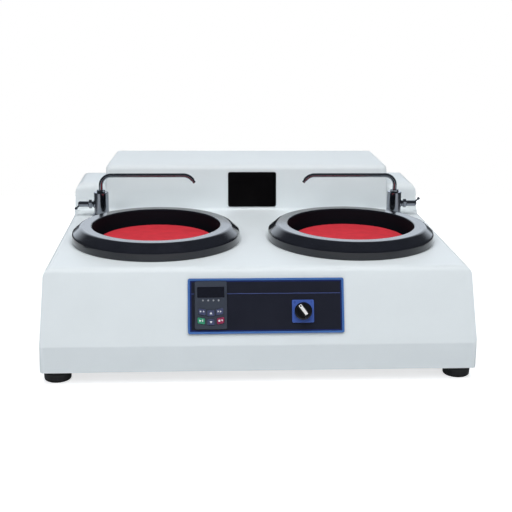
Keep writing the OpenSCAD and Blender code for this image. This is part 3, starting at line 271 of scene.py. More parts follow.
def thickened(obj, thick, edge, steps):
    """In edit mode, draws a flat shape up to a plate on the XY plane and eases its front edges."""
    take_all()
    draw_on(0, 0, thick)
    tidy_shell()
    edit(obj)
    pick(lambda e: is_sharp(e, 60) and all(abs(v.co.z - thick) < TOUCH for v in e.verts))
    round_edges(edge, steps)
    leave_edit()
    return obj


def pressed_plate(name, corners, thick, edge, steps=3):
    """A plate of an outline's shape."""
    return thickened(draw_outline(name, corners), thick, edge, steps)


def rectangle(width, height, radius):
    """The outline of a rectangle about the origin, with rounded corners."""
    w, h = width / 2, height / 2
    return [(-w, -h, radius), (w, -h, radius), (w, h, radius), (-w, h, radius)]


def hexagon(across, rounding=0.0):
    """A hexagon by the distance across its corners."""
    turns = [math.pi / 3 * k for k in range(6)]
    return [(across / 2 * math.cos(a), across / 2 * math.sin(a), rounding) for a in turns]


def copy_of(node):
    """A copy of a node's mesh with its triangles joined to clean faces and no stored normals."""
    obj = add_object(f"{node}_skin", frame["nodes"][node].data.copy())
    obj.data.materials.clear()
    edit(obj)
    take_all()
    bpy.ops.mesh.remove_doubles(threshold=WELD)
    bpy.ops.mesh.dissolve_limited(angle_limit=FLAT)
    leave_edit()
    bpy.ops.mesh.customdata_custom_splitnormals_clear()
    return obj


def joined(name, parts):
    """Several parts as one piece."""
    clear_selection()
    for part in parts:
        part.select_set(True)
    obj = bpy.context.view_layer.objects.active = parts[0]
    if len(parts) > 1:
        bpy.ops.object.join()
    obj.name = obj.data.name = name
    return obj


def dress(obj, material, body, nodes=(), smooth=35):
    """Gives a finished piece its material, its shading and the body that it moves with."""
    obj.data.materials.clear()
    obj.data.materials.append(material)
    select_only(obj)
    bpy.ops.object.shade_smooth_by_angle(angle=math.radians(smooth))
    apply_modifier(obj, "WEIGHTED_NORMAL", keep_sharp=True, weight=100)
    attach(obj, body)
    if nodes:
        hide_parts(*nodes)
    return obj


def paint_node(node, material):
    """Gives a node that stays its procedural material."""
    mesh = frame["nodes"][node].data
    if not mesh.materials:
        mesh.materials.append(material)
    for i in range(len(mesh.materials)):
        mesh.materials[i] = material


# Materials


def add_node(tree, kind, links=None, **settings):
    """Adds a node, sets its options and inputs, and links sources to its inputs."""
    node = tree.nodes.new(kind)
    for key, value in settings.items():
        if hasattr(node, key):
            setattr(node, key, value)
        else:
            node.inputs[key.replace("_", " ").title()].default_value = value
    for socket, source in (links or {}).items():
        tree.links.new(source, node.inputs[socket])
    return node


def start_material(name, **inputs):
    """A new material: its tree, its shader with constant inputs set, and the Object coordinates."""
    made = bpy.data.materials.new(name)
    made.use_nodes = True
    tree = made.node_tree
    shader = tree.nodes["Principled BSDF"]
    for key, value in inputs.items():
        shader.inputs[key.replace("_", " ")].default_value = value
    where = add_node(tree, "ShaderNodeTexCoord").outputs["Object"]
    return made, tree, shader, where


CLOUD_LOW, CLOUD_HIGH = 0.3, 0.7  # most values of the noise lie between these


def mottled(tree, shader, where, colour, shade, patch, rough, swing):
    """Colour and roughness that drift gently over patches of a real size."""
    cloud = add_node(
        tree, "ShaderNodeTexNoise", {"Vector": where}, scale=1 / patch, detail=4.0, roughness=0.55
    ).outputs["Fac"]
    dark = tuple(c * (1 - shade) for c in colour[:3]) + (1.0,)
    ramp = add_node(tree, "ShaderNodeValToRGB", {"Fac": cloud})
    for stop, spot, tone in zip(ramp.color_ramp.elements, (CLOUD_LOW, CLOUD_HIGH), (dark, colour)):
        stop.position, stop.color = spot, tone
    tree.links.new(ramp.outputs["Color"], shader.inputs["Base Color"])
    ends = {"from_min": CLOUD_LOW, "from_max": CLOUD_HIGH, "to_min": rough - swing, "to_max": rough + swing}
    gloss = add_node(tree, "ShaderNodeMapRange", {"Value": cloud}, **ends)
    tree.links.new(gloss.outputs["Result"], shader.inputs["Roughness"])


def grained(tree, shader, where, grain, depth):
    """A fine bump of a real grain size and depth."""
    noise = add_node(tree, "ShaderNodeTexNoise", {"Vector": where}, scale=1 / grain, detail=2.0)
    bump = add_node(tree, "ShaderNodeBump", {"Height": noise.outputs["Fac"]}, strength=1.0, distance=depth)
    tree.links.new(bump.outputs["Normal"], shader.inputs["Normal"])


def solid(name, colour, rough, swing, grain, depth, shade, patch, **inputs):
    """A solid finish: colour and gloss that drift, and a fine bump."""
    made, tree, shader, where = start_material(name, **inputs)
    mottled(tree, shader, where, colour, shade, patch, rough, swing)
    grained(tree, shader, where, grain, depth)
    return made


def moulded(
    name, colour, rough=0.4, swing=0.04, grain=0.8 * MM, depth=0.02 * MM, shade=0.08, patch=25 * MM, ior=1.5
):
    """Moulded plastic: even colour, a faint drift in gloss and the fine texture of the tool."""
    return solid(name, colour, rough, swing, grain, depth, shade, patch, IOR=ior)


def metal(name, colour, rough, swing=0.03, grain=0.6 * MM, depth=0.004 * MM, shade=0.06):
    """Bare or plated metal: full reflections with a faint ripple."""
    return solid(name, colour, rough, swing, grain, depth, shade, 12 * MM, Metallic=1.0)


def gelcoat(name, colour):
    """Sprayed white gelcoat: satin, with orange peel and a hint of handling marks."""
    return solid(name, colour, 0.46, 0.05, 2.2 * MM, 0.012 * MM, 0.025, 70 * MM, IOR=1.42)


def glossy_abs(name, colour):
    """Polished black ABS: a mirror-like skin with faint swirls from wiping."""
    coat = {"Coat_Weight": 0.8, "Coat_Roughness": 0.06, "Coat_IOR": 1.4}
    return solid(name, colour, 0.17, 0.04, 4 * MM, 0.01 * MM, 0.3, 30 * MM, IOR=1.4, **coat)


def napped_cloth(name, colour):
    """Napped polishing cloth: matt fibres that catch light at the edge, brushed in patches."""
    made, tree, shader, where = start_material(
        name, Specular_IOR_Level=0.15, Sheen_Weight=0.03, Sheen_Roughness=0.5, Sheen_Tint=linear("FFCBCB")
    )
    mottled(tree, shader, where, colour, 0.16, 18 * MM, 0.9, 0.05)
    # Fibres are about 0.1 mm thick; they are drawn as 1 mm tufts so that they show.
    fibres = add_node(tree, "ShaderNodeTexNoise", {"Vector": where}, scale=1 / (1.0 * MM), detail=6.0)
    weave = add_node(tree, "ShaderNodeTexVoronoi", {"Vector": where}, scale=1 / (1.6 * MM))
    nap = add_node(tree, "ShaderNodeMath", {0: fibres.outputs["Fac"], 1: weave.outputs["Distance"]})
    bump = add_node(tree, "ShaderNodeBump", {"Height": nap.outputs["Value"]}, strength=0.7, distance=0.12 * MM)
    tree.links.new(bump.outputs["Normal"], shader.inputs["Normal"])
    return made


MATERIALS = {}

# Finishes of a fixed colour: name, colour, then what moulded or metal takes, in its order
PLASTICS = {
    # Textured ABS: a dull wall with hardly any reflection
    "ring_wall": ("black_abs_textured", "16181E", 0.8, 0.06, 0.6 * MM, 0.03 * MM, 0.08, 25 * MM, 1.2),
    # Polypropylene: a waxy half gloss
    "basin": ("black_polypropylene_moulded", "1A1A1E", 0.42, 0.06),
    # Rubber: matt, with the grain of its mould
    "rubber": ("black_rubber_moulded", "18181A", 0.72, 0.08, 0.7 * MM, 0.03 * MM),
    # Printed lines: even colour, satin
    "trim_line": ("dark_blue_line_printed", "1D2A62", 0.4, 0.04, 0.5 * MM, 0.005 * MM),
    "thin_line": ("pale_blue_line_printed", "4C5A92", 0.4, 0.04, 0.5 * MM, 0.005 * MM),
    # Fine-textured ABS: soft grey without highlights
    "keypad": ("grey_abs_fine_texture", "3E4450", 0.48, 0.05, 0.5 * MM, 0.02 * MM),
    # Smoked acrylic: dark, with clear reflections
    "window": ("smoked_acrylic_window", "1A1C26", 0.12, 0.03, 3 * MM, 0.004 * MM),
    # Clear lenses: pale, with a small bright highlight
    "lamp": ("clear_lens_moulded", "B4B8C0", 0.2, 0.03),
    # Printed marks: flat white
    "mark": ("white_print_on_keys", "F0F3F6", 0.5, 0.03),
    # Moulded keys: satin, with a fine grain
    "key_slate": ("slate_key_moulded", "4A5070", 0.5, 0.05, 0.4 * MM, 0.02 * MM),
    "key_green": ("green_key_moulded", "3E9A78", 0.5, 0.05, 0.4 * MM, 0.02 * MM),
    "key_red": ("red_key_moulded", "9A3458", 0.5, 0.05, 0.4 * MM, 0.02 * MM),
    # Moulded switch parts: satin blue, and black with soft highlights
    "switch_blue": ("blue_switch_plate_moulded", "4866B8", 0.42, 0.05, 0.5 * MM, 0.02 * MM),
    "switch_black": ("black_knob_moulded", "131316", 0.36, 0.06, 0.5 * MM, 0.02 * MM),
    # White inlay: clean, hardly any drift in colour
    "pointer": ("white_pointer_inlay", "F2F2F0", 0.4, 0.04, 0.8 * MM, 0.01 * MM, 0.03),
    # Printed numerals: flat dark blue
    "numeral": ("dark_blue_numeral_printed", "1E2F73", 0.5, 0.03),
    # Black acrylic: deep black, with faint reflections
    "plaque": ("black_acrylic_plaque", "050304", 0.2, 0.04, 2 * MM, 0.002 * MM, 0.08, 25 * MM, 1.35),
    # Powder coat: satin, with a slight peel
    "frame_steel": ("grey_powder_coat", "9A9EA3", 0.5, 0.05, 0.9 * MM, 0.03 * MM),
    # Enamel on a casting: half gloss, coarse
    "motor": ("blue_grey_enamel", "5C6570", 0.4, 0.06, 1.2 * MM, 0.03 * MM),
    # Moulded PVC and extruded hose: plain, satin
    "drain": ("grey_pvc_moulded", "868B90", 0.4, 0.05),
    "hose": ("blue_grey_hose_extruded", "6F8FA8", 0.45, 0.05),
    # Nylon: dull black
    "nylon": ("black_nylon_moulded", "202024", 0.45, 0.06),
    # Solder mask: satin green
    "board": ("green_solder_mask", "2E6A45", 0.4, 0.05),
}
METALS = {
    # Chrome plating: light and dark bands of the room, hardly blurred
    "chrome": ("chrome_plated_brass_polished", "92969E", 0.1, 0.03, 6 * MM, 0.01 * MM),
    # Zinc plating: bluish grey, blurred
    "zinc": ("zinc_plated_steel", "B9BCC0", 0.32, 0.06),
    # Ground steel: bright, a little blurred
    "steel": ("ground_steel", "B4B7BB", 0.25, 0.05),
    # Machined cast iron: grey, rough and uneven in tone
    "iron": ("machined_cast_iron", "5E6265", 0.5, 0.08, 0.9 * MM, 0.02 * MM, 0.15),
    # Turned brass: warm and bright
    "brass": ("turned_brass", "C3A050", 0.22, 0.05),
}


def make_materials(colours):
    """All finishes of the machine, named for what they are and how they are made."""
    for maker, table in ((moulded, PLASTICS), (metal, METALS)):
        for key, (name, code, *rest) in table.items():
            MATERIALS[key] = maker(name, linear(code), *rest)
    MATERIALS.update(
        gelcoat=gelcoat("white_gelcoat_sprayed", colours.body[:]),
        # Powder coat: satin white, with a fine peel
        cover=moulded("white_powder_coat", colours.body[:], 0.5, 0.05, 0.9 * MM, 0.03 * MM, 0.03, 60 * MM),
        ring=glossy_abs("black_abs_polished", colours.ring[:]),
        cloth=napped_cloth("red_polishing_cloth_napped", colours.cloth[:]),
        # Printed film: near-black and clear blue, half gloss
        panel=moulded("black_panel_film_printed", colours.panel[:], 0.34, 0.04, 0.5 * MM, 0.006 * MM),
        trim=moulded("blue_panel_border_printed", colours.trim[:], 0.36, 0.04, 0.5 * MM, 0.005 * MM, 0.06),
    )


# Properties


def length(name, description, millimetres):
    """A length that is given in mm and kept in metres."""
    return FloatProperty(name=name, description=description, default=millimetres * MM, unit="LENGTH")


def colour(name, description, code):
    """A colour that is given as an sRGB hex code."""
    return FloatVectorProperty(
        name=name, description=description, subtype="COLOR", size=4, min=0, max=1, default=linear(code)
    )


class MachineColours(bpy.types.PropertyGroup):
    body: colour("Body", "White of the housing", "EBF2F5")
    ring: colour("Rings", "Black of the splash rings", "1D1F27")
    cloth: colour("Cloth", "Red of the polishing cloths", "E03C48")
    panel: colour("Panel", "Near-black of the control panel", "20222E")
    trim: colour("Border", "Blue of the panel's border", "4A74B8")


class HousingSizes(bpy.types.PropertyGroup):
    block_edge: length("Block edge", "Rounding of the centre block's side edges", 7.0)
    block_fold: length("Block fold", "How far the front fold of the centre block is drawn up its face", 6.5)
    shoulder_edge: length("Shoulder edge", "Rounding of the shoulders' upright edges", 6.0)


class RingSizes(bpy.types.PropertyGroup):
    deck_drop: length("Deck under cloth", "How far the deck lies under the top of the cloth", 1.0)
    wall: length("Wall", "Wall of the splash ring", 3.0)
    opening: length("Opening", "Radius of the ring's opening", 111.5)
    top: length("Top", "Width of the ring's nearly level top", 20.5)
    slope: FloatProperty(
        name="Slope", description="Slope of the ring's top", default=math.radians(-1), subtype="ANGLE"
    )
    shoulder: length("Shoulder", "Height of the ring's shoulder above the deck", 27.8)
    side: length("Side", "Height of the upright part of the ring's side", 15.5)
    gap: length("Gap", "Height of the dark gap between the ring and the deck", 1.4)
    lean: length("Lean", "How far the upright side leans in", 0.6)
    steps: IntProperty(name="Steps", description="Facets round a ring", default=160)


class TapSizes(bpy.types.PropertyGroup):
    column: length("Column", "Radius of a tap column", 14.0)
    column_height: length("Column height", "Height of a tap column above the deck", 47.0)
    flange: length("Flange", "Radius of a tap's base flange", 18.0)
    tube: length("Tube", "Radius of the spout's tube", 4.0)
    bend: length("Bend", "Radius of the spout's bend above the column", 20.0)
    tip_bend: length("Tip bend", "Radius of the spout's down-turned end", 22.0)
    reach: length("Reach", "Distance from the column to the start of the down-turned end", 158.0)
    level: length("Level", "Height of the spout's level run above the deck", 79.4)


class PanelSizes(bpy.types.PropertyGroup):
    border: length("Border", "Width of the panel's blue border", 3.4)
    line: length("Inner line", "Width of the dark line inside the border", 2.2)
    edge: length("Edge", "Rounding of moulded edges on the panel", 0.6)


def watts(name, description, power):
    """The power of a light."""
    return FloatProperty(name=name, description=description, default=power, unit="POWER")


class StageSettings(bpy.types.PropertyGroup):
    floor: colour("Floor", "Pale floor under the machine", "E6E8EA")
    side_power: watts("Side light", "Power of the soft box at the left", 32.0)
    top_power: watts("Top light", "Power of the soft box overhead", 32.0)
    backdrop: FloatProperty(name="Backdrop", description="Strength of the lit backdrop", default=1.5)
    dim: FloatProperty(name="Dim", description="Strength of the light from the front and overhead", default=0.1)


GROUPS = {
    "machine_colours": MachineColours,
    "housing_sizes": HousingSizes,
    "ring_sizes": RingSizes,
    "tap_sizes": TapSizes,
    "panel_sizes": PanelSizes,
    "stage_settings": StageSettings,
}


def deck_height(scene):
    """The height of the housing's flat deck."""
    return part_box("left_cloth")[1].z - scene.ring_sizes.deck_drop


# Operators


class MACHINE_OT_finishes(bpy.types.Operator):
    """Makes the finishes and gives them to the pieces inside the housing"""

    bl_idname = "machine.finishes"
    bl_label = "Finishes"

    INSIDE = {
        "frame_steel": ("base_pan", "chassis_frame"),
        "zinc": ("foot_bolts", "chassis_bolts", "case_screws"),
        "basin": ("left_basin", "right_basin"),
        "iron": (
            "left_bearing_housing", "right_bearing_housing",
            "left_spindle_pulley", "right_spindle_pulley", "motor_pulley",
        ),
        "steel": ("spindle_bearings", "left_spindle", "right_spindle", "motor_shaft", "left_platen", "right_platen"),
        "rubber": ("spindle_seals", "left_belt", "right_belt"),
        "drain": ("left_drain_pipe", "right_drain_pipe"),
        "motor": ("motor_housing",),
        "hose": ("water_pipe",),
        "brass": ("water_inlet",),
        "nylon": ("cable_gland", "speed_drive", "switch_body"),
        "board": ("keypad_board",),
        "cover": ("rear_cover",),
        "panel": ("control_panel",),
    }

    def execute(self, context):
        make_materials(context.scene.machine_colours)
        for finish, nodes in self.INSIDE.items():
            for node in nodes:
                paint_node(node, MATERIALS[finish])
        return {"FINISHED"}


class MACHINE_OT_housing(bpy.types.Operator):
    """Makes the white housing"""

    bl_idname = "machine.housing"
    bl_label = "Housing"

    # Two points in plan on the flank of the centre block, and how far a point may lie off it
    BLOCK_FRONT = Vector((282.5, 146.5)) * MM
    BLOCK_BACK = Vector((269.1, 271.9)) * MM
    FLANK_SLACK = 0.3 * MM
    # Heights above LOW, which lies over the deck: rim of the block, its front fold, its rear turn
    LOW = 4 * MM
    RIM, FOLD_LOW, TURN_LOW = 52 * MM, 54 * MM, 82 * MM
    # Bounds in plan of the fold, the rear turn and the shoulders
    FOLD_BACK, TURN_FRONT = 180 * MM, 273.5 * MM
    SHOULDER_IN, SHOULDER_BACK = 327 * MM, 175 * MM
    # A face that rises more than TOP is a top, and one that rises less than SIDE is a side
    TOP, SIDE = 0.8, 0.5
    MERGE = 1.2 * MM
    STEPS = 5

    def on_flank(self, spot):
        """Whether a point lies on the outer flank of the centre block."""
        share = (spot.y - self.BLOCK_FRONT.y) / (self.BLOCK_BACK.y - self.BLOCK_FRONT.y)
        flank = self.BLOCK_FRONT.x + share * (self.BLOCK_BACK.x - self.BLOCK_FRONT.x)
        return abs(abs(spot.x) - flank) < self.FLANK_SLACK

    def on_flanks(self, edge, low):
        """Whether an edge bounds a flank of the centre block."""
        return all(v.co.z > low and self.on_flank(v.co) for v in edge.verts)

    def on_rim(self, edge, low):
        """Whether an edge bounds the top of the centre block at its ends or its back."""
        rises = [face.normal.z for face in edge.link_faces]
        return all(v.co.z > low + self.RIM for v in edge.verts) and max(rises) > self.TOP and min(rises) < self.SIDE

    def on_shoulder(self, edge, low):
        """Whether an edge lies on the front of a shoulder, at the machine's side."""
        return all(
            v.co.z > low and abs(v.co.x) > self.SHOULDER_IN and v.co.y < self.SHOULDER_BACK for v in edge.verts
        )

    def execute(self, context):
        sizes = context.scene.housing_sizes
        low = deck_height(context.scene) + self.LOW
        obj = copy_of("housing")
        edit(obj)
        if not pick(lambda v: v.co.z > low + self.FOLD_LOW and v.co.y < self.FOLD_BACK, "VERT"):
            raise RuntimeError("no fold found on the centre block")
        bpy.ops.transform.translate(value=(0, sizes.block_fold * math.tan(BLOCK_LEAN), sizes.block_fold))
        if not pick(lambda e: e.is_convex and is_sharp(e) and (self.on_flanks(e, low) or self.on_rim(e, low))):
            raise RuntimeError("no edges found on the centre block")
        round_edges(sizes.block_edge, self.STEPS)
        # The rounding runs out on the rear turn, where its narrow folds are merged.
        pick(lambda v: v.co.z > low + self.TURN_LOW and v.co.y > self.TURN_FRONT, "VERT")
        bpy.ops.mesh.remove_doubles(threshold=self.MERGE)
        if not pick(lambda e: e.is_convex and is_sharp(e, 20) and self.on_shoulder(e, low)):
            raise RuntimeError("no edges found on the shoulders")
        round_edges(sizes.shoulder_edge, self.STEPS, clamp=True)
        leave_edit()
        dress(obj, MATERIALS["gelcoat"], MACHINE, ["housing"], smooth=40)
        return {"FINISHED"}


class MACHINE_OT_rings(bpy.types.Operator):
    """Turns the two splash rings"""

    bl_idname = "machine.rings"
    bl_label = "Splash rings"

    # Roundings of the section
    FOOT, SIDE, CROWN, LIP, INSIDE = (r * MM for r in (0.4, 6, 8, 3, 4))
    WALL_SLACK = 1 * MM  # a face this close to the opening belongs to the inner wall

    def execute(self, context):
        sizes = context.scene.ring_sizes
        deck = deck_height(context.scene)
        for side in SIDES:
            node = f"{side}_splash_ring"
            low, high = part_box(node)
            outer = (high.x - low.x) / 2
            inner, foot = sizes.opening, low.z - deck
            top = inner + sizes.top
            lip = sizes.shoulder + sizes.top * math.tan(sizes.slope)
            under = lip - sizes.wall * (math.tan(sizes.slope) + 1 / math.cos(sizes.slope))
            obj = lathe(
                f"{node}_skin",
                [
                    (inner, foot, 0),
                    (inner + sizes.wall, foot, 0),
                    (inner + sizes.wall, under, 0),
                    (top - sizes.wall, sizes.shoulder - sizes.wall, self.INSIDE),
                    (outer - sizes.wall - sizes.lean, sizes.side - sizes.wall / 2, self.INSIDE),
                    (outer - sizes.wall, 0, 0),
                    (outer - sizes.gap, 0, 0),
                    (outer - sizes.gap, sizes.gap, 0),
                    (outer, sizes.gap, self.FOOT),
                    (outer - sizes.lean, sizes.side, self.SIDE),
                    (top, sizes.shoulder, self.CROWN),
                    (inner, lip, self.LIP),
                ],
                sizes.steps,
            )
            centre = middle(node)
            place(obj, Matrix.Translation((centre.x, centre.y, deck)))
            dress(obj, MATERIALS["ring"], MACHINE, [node])
            self.mark_wall(obj, centre, inner, deck + sizes.shoulder)
        return {"FINISHED"}

    def mark_wall(self, obj, centre, inner, height):
        """Gives the inner wall under the lip its own, duller finish."""
        obj.data.materials.append(MATERIALS["ring_wall"])
        for face in obj.data.polygons:
            out = math.hypot(face.center.x - centre.x, face.center.y - centre.y)
            if out < inner + self.WALL_SLACK and face.center.z < height:
                face.material_index = 1


class MACHINE_OT_cloths(bpy.types.Operator):
    """Lays the two polishing cloths on their platens"""

    bl_idname = "machine.cloths"
    bl_label = "Polishing cloths"

    RINGS = 14  # rings of faces between the rim and the middle
    UNDERCUT, LAND = 0.2 * MM, 0.6 * MM  # how far the rim's foot and its top lie inside the radius

    def execute(self, context):
        for side in SIDES:
            node = f"{side}_cloth"
            low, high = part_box(node)
            radius = (high.x - low.x) / 2
            thick = high.z - low.z
            rim = [
                (0, 0, 0),
                (radius - self.UNDERCUT, 0, 0),
                (radius, thick / 2, 0.2 * MM),
                (radius - self.LAND, thick, 0.3 * MM),
            ]
            inner = [(radius * (1 - k / self.RINGS), thick, 0) for k in range(1, self.RINGS + 1)]
            obj = lathe(f"{node}_skin", rim + inner)
            centre = middle(node)
            place(obj, Matrix.Translation((centre.x, centre.y, low.z)))
            dress(obj, MATERIALS["cloth"], f"{side}_disc", [node])
        return {"FINISHED"}


def tap_turn(side):
    """Placing at a tap's foot. The tap is modelled with its spout towards +X, so the right one is mirrored."""
    spot = joint_place(f"{side}_spout_swivel")
    place_at = Matrix.Translation((spot.x, spot.y, deck_height(bpy.context.scene)))
    return place_at @ Matrix.Diagonal((-SIDES[side], 1, 1, 1))


def along_minus_x(x, z):
    """Placing of a part that was modelled along +Z so that it points to -X."""
    return Matrix.Translation((x, 0, z)) @ Matrix.Rotation(-math.pi / 2, 4, "Y")


class MACHINE_OT_taps(bpy.types.Operator):
    """Models the two water taps with their nuts, spouts and levers"""

    bl_idname = "machine.taps"
    bl_label = "Water taps"

    VALVE = 23.5 * MM  # height of the side valve above the deck
    PORT = 5.5 * MM  # radius of the side port and of the barrel on it
    BONNET, BONNET_OUT, BONNET_LENGTH = 17 * MM, 18 * MM, 6 * MM
    BARREL = 18 * MM  # length of the turning barrel
    SEAT, SEAT_DEPTH = 9 * MM, 0.6 * MM  # recess for the gland nut on top of the column
    SOCKET = 20 * MM  # how deep the spout's foot stands in the column
    TUBE_WALL, TUBE_BORE = 1 * MM, 6 * MM  # wall and visible depth of the spout's mouth
    TUBE_SIDES, BEND_STEPS, TIP_STEPS = 40, 20, 14
    TIP_TURN = math.radians(55)
    BALL, ROD, ROD_LENGTH = 3 * MM, 1.6 * MM, 13 * MM  # radii of the lever's ball and rod, and the rod's length
    BALL_STEPS = 10
    LEVER_LEAN = math.radians(45)
    SWINGS = {"left": math.radians(150), "right": 0.0}  # how the levers stand at rest

    def body(self, sizes):
        """Column with its flange, side port and hexagon bonnet."""
        top = sizes.column_height
        column = lathe(
            "column",
            [
                (0, 0, 0),
                (sizes.flange, 0, 0),
                (sizes.flange, 4 * MM, 1.5 * MM),
                (sizes.column, 6 * MM, 1.5 * MM),
                (sizes.column, top, 1.2 * MM),
                (self.SEAT, top, 0),
                (self.SEAT, top - self.SEAT_DEPTH, 0),
                (0, top - self.SEAT_DEPTH, 0),
            ],
        )
        port = lathe(
            "port",
            [
                (0, 0, 0),
                (self.PORT + 2 * MM, 0, 0),
                (self.PORT + 2 * MM, sizes.column, 0),
                (self.PORT, sizes.column + 1.5 * MM, 1 * MM),
                (self.PORT, self.BONNET_OUT + 1 * MM, 0),
                (0, self.BONNET_OUT + 1 * MM, 0),
            ],
            48,
        )
        place(port, along_minus_x(0, self.VALVE))
        bonnet = pressed_plate("bonnet", hexagon(self.BONNET, 0.6 * MM), self.BONNET_LENGTH, 0.7 * MM)
        place(bonnet, along_minus_x(-self.BONNET_OUT, self.VALVE))
        return joined("tap_body", [column, port, bonnet])

    def spout(self, sizes):
        """A bent tube: a circle drawn up, spun round the bend, drawn along and spun down at its end."""
        clear_selection()
        foot = sizes.column_height - self.SOCKET
        bpy.ops.mesh.primitive_circle_add(vertices=self.TUBE_SIDES, radius=sizes.tube, location=(0, 0, foot))
        obj = bpy.context.object
        bpy.ops.object.transform_apply(location=True, rotation=True, scale=True)
        edit(obj)
        take_all()
        rise = sizes.level - sizes.bend - foot
        draw_on(0, 0, rise)
        bend_at = (sizes.bend, 0, sizes.level - sizes.bend)
        bpy.ops.mesh.spin(steps=self.BEND_STEPS, angle=math.pi / 2, center=bend_at, axis=(0, -1, 0))
        run = sizes.reach - sizes.bend
        draw_on(run, 0, 0)
        tip_at = (sizes.reach, 0, sizes.level - sizes.tip_bend)
        bpy.ops.mesh.spin(steps=self.TIP_STEPS, angle=self.TIP_TURN, center=tip_at, axis=(0, -1, 0))
        bpy.ops.mesh.edge_face_add()
        bpy.ops.mesh.inset(thickness=self.TUBE_WALL)
        bpy.ops.mesh.extrude_region_shrink_fatten(TRANSFORM_OT_shrink_fatten={"value": -self.TUBE_BORE})
        tidy_shell()
        return obj

    def lever(self):
        """Turning barrel with its stem, and the leaning rod that ends in a ball."""
        start = self.BONNET_OUT + self.BONNET_LENGTH + 0.5 * MM
        barrel = lathe(
            "barrel",
            [
                (0, -7 * MM, 0),
                (2.9 * MM, -7 * MM, 0),
                (2.9 * MM, 0, 0),
                (self.PORT, 0, 0.6 * MM),
                (self.PORT, self.BARREL, 0.8 * MM),
                (5 * MM, self.BARREL, 0),
                (3.6 * MM, self.BARREL + 2 * MM, 0.8 * MM),
                (0, self.BARREL + 2 * MM, 0),
            ],
            48,
        )
        place(barrel, along_minus_x(-start, 0))
        around = math.pi - math.asin(self.ROD / self.BALL)
        arc = [around - around * k / self.BALL_STEPS for k in range(self.BALL_STEPS + 1)]
        ball = [(self.BALL * math.sin(a), self.ROD_LENGTH + self.BALL * math.cos(a), 0) for a in arc]
        handle = lathe("handle", [(0, 0, 0), (self.ROD, 0, 0)] + ball, 32)
        root = Matrix.Translation((-start - self.BARREL + 2 * self.ROD, 0, 0))
        place(handle, root @ Matrix.Rotation(-self.LEVER_LEAN, 4, "Y"))
        return joined("tap_lever", [barrel, handle])

    def execute(self, context):
        sizes = context.scene.tap_sizes
        chrome = MATERIALS["chrome"]
        body, spout, lever = self.body(sizes), self.spout(sizes), self.lever()
        nuts = []
        for side in SIDES:
            turn = tap_turn(side)
            swing = Matrix.Translation((0, 0, self.VALVE)) @ Matrix.Rotation(self.SWINGS[side], 4, "X")
            for part, node, body_name, spot in (
                (body, f"{side}_tap_body", MACHINE, turn),
                (spout, f"{side}_spout", f"{side}_swivel_spout", turn),
                (lever, f"{side}_tap_lever", f"{side}_valve", turn @ swing),
            ):
                twin = place(add_object(f"{node}_skin", part.data.copy()), spot)
                dress(twin, chrome, body_name, [node])
            for name, across, corner, tall, up in (
                ("gland", 16 * MM, 0.6 * MM, 5 * MM, sizes.column_height - self.SEAT_DEPTH),
                ("lock", 24 * MM, 0.8 * MM, 8 * MM, -13 * MM),
            ):
                nut = pressed_plate(name, hexagon(across, corner), tall, 0.8 * MM)
                nuts.append(place(nut, turn @ Matrix.Translation((0, 0, up))))
        dress(joined("tap_nuts_skin", nuts), chrome, MACHINE, ["tap_nuts"])
        for part in (body, spout, lever):
            bpy.data.objects.remove(part)
        return {"FINISHED"}


def eased_copy(node, out, edge, steps=3):
    """A copy of a plate with the edges of its outer face eased. The face looks along a given direction."""
    obj = copy_of(node)
    level = max(v.co.dot(out) for v in obj.data.vertices)
    edit(obj)
    if not pick(lambda e: is_sharp(e, 50) and all(v.co.dot(out) > level - NEAR for v in e.verts)):
        raise RuntimeError(f"no front edges found on {node}")
    round_edges(edge, steps)
    leave_edit()
    return obj


class MACHINE_OT_panel(bpy.types.Operator):
    """Models the panel's border with its lines, and the plaque"""

    bl_idname = "machine.panel"
    bl_label = "Control panel"

    BORDER_HEIGHT, LINE_HEIGHT, BAR_HEIGHT = 0.8 * MM, 0.3 * MM, 0.4 * MM
    SLIT = 0.2 * MM  # between the border and the line inside it
    BAR, BAR_UP, BAR_GAP = 1 * MM, 19.5 * MM, 0.5 * MM  # the thin line: width, place, gap to the keypad

    def frame_of(self, name, width, height, band, thick, radius):
        """A flat frame: an outline set in by the width of its band."""
        obj = draw_outline(name, rectangle(width, height, radius))
        take_all()
        bpy.ops.mesh.inset(thickness=band)
        bpy.ops.mesh.delete(type="FACE")
        return thickened(obj, thick, 0.25 * MM, 2)

    def execute(self, context):
        sizes = context.scene.panel_sizes
        width, height = front_size("control_panel")
        corner = sizes.border + self.SLIT
        border = self.frame_of("panel_trim_skin", width, height, sizes.border, self.BORDER_HEIGHT, corner)
        place(border, on_front("control_panel"))
        dress(border, MATERIALS["trim"], MACHINE, ["panel_trim"])
        inside = [s - 2 * sizes.border - self.SLIT for s in (width, height)]
        line = self.frame_of("panel_inner_line", *inside, sizes.line, self.LINE_HEIGHT, 0)
        place(line, on_front("control_panel"))
        dress(line, MATERIALS["trim_line"], MACHINE)
        half = inside[0] / 2 - sizes.line
        panel_mid, keypad_mid = middle("control_panel").x, middle("keypad_case").x
        keypad_half = front_size("keypad_case")[0] / 2 + self.BAR_GAP
        runs = [(-half, keypad_mid - keypad_half - panel_mid), (keypad_mid + keypad_half - panel_mid, half)]
        bars = []
        for left, right in runs:
            bar = pressed_plate("bar", rectangle(right - left, self.BAR, 0), self.BAR_HEIGHT, 0.15 * MM, 2)
            bars.append(place(bar, on_front("control_panel", (left + right) / 2, self.BAR_UP)))
        dress(joined("panel_thin_line", bars), MATERIALS["thin_line"], MACHINE)
        out = Vector((0, -math.cos(BLOCK_LEAN), math.sin(BLOCK_LEAN)))
        dress(eased_copy("plaque", out, 0.7 * MM), MATERIALS["plaque"], MACHINE, ["plaque"])
        return {"FINISHED"}


